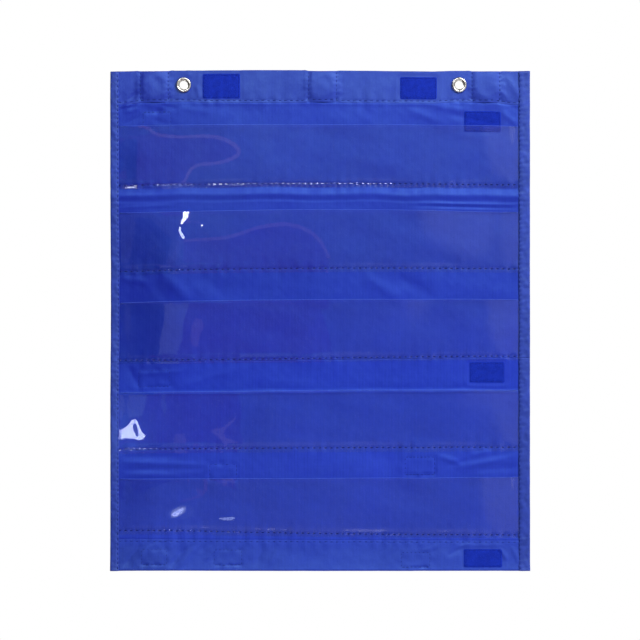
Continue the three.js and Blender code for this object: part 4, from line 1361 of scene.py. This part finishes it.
card("spot_5_glow", 4, [(166, 514), (170, 509.5), (178, 505.5), (186, 504.5), (194, 507.5), (196, 513), (190, 518), (178, 520), (169, 518.5)], (0.20, 0.24, 0.30), deep=-0.050)
card("spot_5_halo", 4, [(169.5, 514.5), (173, 510.5), (179, 507.3), (185, 506.4), (186.5, 509.5), (183, 514), (177, 517.8), (171.5, 518)], (1.3, 1.5, 1.9), deep=-0.048)
card("spot_5_bright", 4, [(171.5, 514.5), (176, 511.5), (182, 508.4), (184.2, 509.4), (182, 513), (176.5, 516.6), (172.5, 517)], (4.6, 5.2, 7.4), deep=-0.046)
card("spot_5_flat", 4, [(218, 518.6), (225, 517.6), (233.5, 517), (235, 518.4), (232, 520.2), (224, 520.4)], (2.2, 2.6, 3.4), deep=-0.046)

w = bpy.data.worlds.new("studio")
w.use_nodes = True
t = w.node_tree
t.nodes.clear()
out = t.nodes.new("ShaderNodeOutputWorld")
coord = t.nodes.new("ShaderNodeTexCoord")
sep = t.nodes.new("ShaderNodeSeparateXYZ")
t.links.new(coord.outputs["Generated"], sep.inputs[0])
ramp = t.nodes.new("ShaderNodeMapRange")          # dark in front of the chart, where the eye stands, and lighter to all sides
ramp.inputs["From Min"].default_value = -0.93
ramp.inputs["From Max"].default_value = -0.55
ramp.inputs["To Min"].default_value = 0.19
ramp.inputs["To Max"].default_value = 0.30
t.links.new(sep.outputs["Y"], ramp.inputs["Value"])
side = t.nodes.new("ShaderNodeMapRange")          # lighter on the right
side.inputs["From Min"].default_value = -0.9
side.inputs["From Max"].default_value = 0.6
side.inputs["To Min"].default_value = 0.15
side.inputs["To Max"].default_value = 1.0
t.links.new(sep.outputs["X"], side.inputs["Value"])
mul = t.nodes.new("ShaderNodeMath")
mul.operation = "MULTIPLY"
t.links.new(ramp.outputs[0], mul.inputs[0])
t.links.new(side.outputs[0], mul.inputs[1])
wall = t.nodes.new("ShaderNodeMapRange")          # a pale wall further to the right
wall.interpolation_type = "SMOOTHSTEP"
wall.inputs["From Min"].default_value = 0.112
wall.inputs["From Max"].default_value = 0.17
wall.inputs["To Min"].default_value = 0.0
wall.inputs["To Max"].default_value = 0.22
t.links.new(sep.outputs["X"], wall.inputs["Value"])
low = t.nodes.new("ShaderNodeMapRange")           # and a pale floor
low.interpolation_type = "SMOOTHSTEP"
low.inputs["From Min"].default_value = -0.22
low.inputs["From Max"].default_value = -0.55
low.inputs["To Min"].default_value = 0.0
low.inputs["To Max"].default_value = 0.16
t.links.new(sep.outputs["Z"], low.inputs["Value"])
total = mul
for extra in (wall, low):
    add = t.nodes.new("ShaderNodeMath")
    add.operation = "ADD"
    t.links.new(total.outputs[0], add.inputs[0])
    t.links.new(extra.outputs[0], add.inputs[1])
    total = add
bg = t.nodes.new("ShaderNodeBackground")
bg.inputs["Color"].default_value = (1, 1, 1, 1)
t.links.new(total.outputs[0], bg.inputs["Strength"])
white = t.nodes.new("ShaderNodeBackground")
white.inputs["Color"].default_value = (1, 1, 1, 1)
white.inputs["Strength"].default_value = 1.0
lp = t.nodes.new("ShaderNodeLightPath")
mixer = t.nodes.new("ShaderNodeMixShader")
t.links.new(lp.outputs["Is Camera Ray"], mixer.inputs[0])
t.links.new(bg.outputs[0], mixer.inputs[1])
t.links.new(white.outputs[0], mixer.inputs[2])
t.links.new(mixer.outputs[0], out.inputs["Surface"])
bpy.context.scene.world = w
bpy.context.scene.view_settings.view_transform = "Standard"

cam = bpy.data.cameras.new("camera")
cam.lens, cam.sensor_width = 100.0, 36.0
co = bpy.data.objects.new("camera", cam)
bpy.context.scene.collection.objects.link(co)
co.location = tuple(EYE)
co.rotation_euler = (math.radians(90), 0, 0)
bpy.context.scene.camera = co
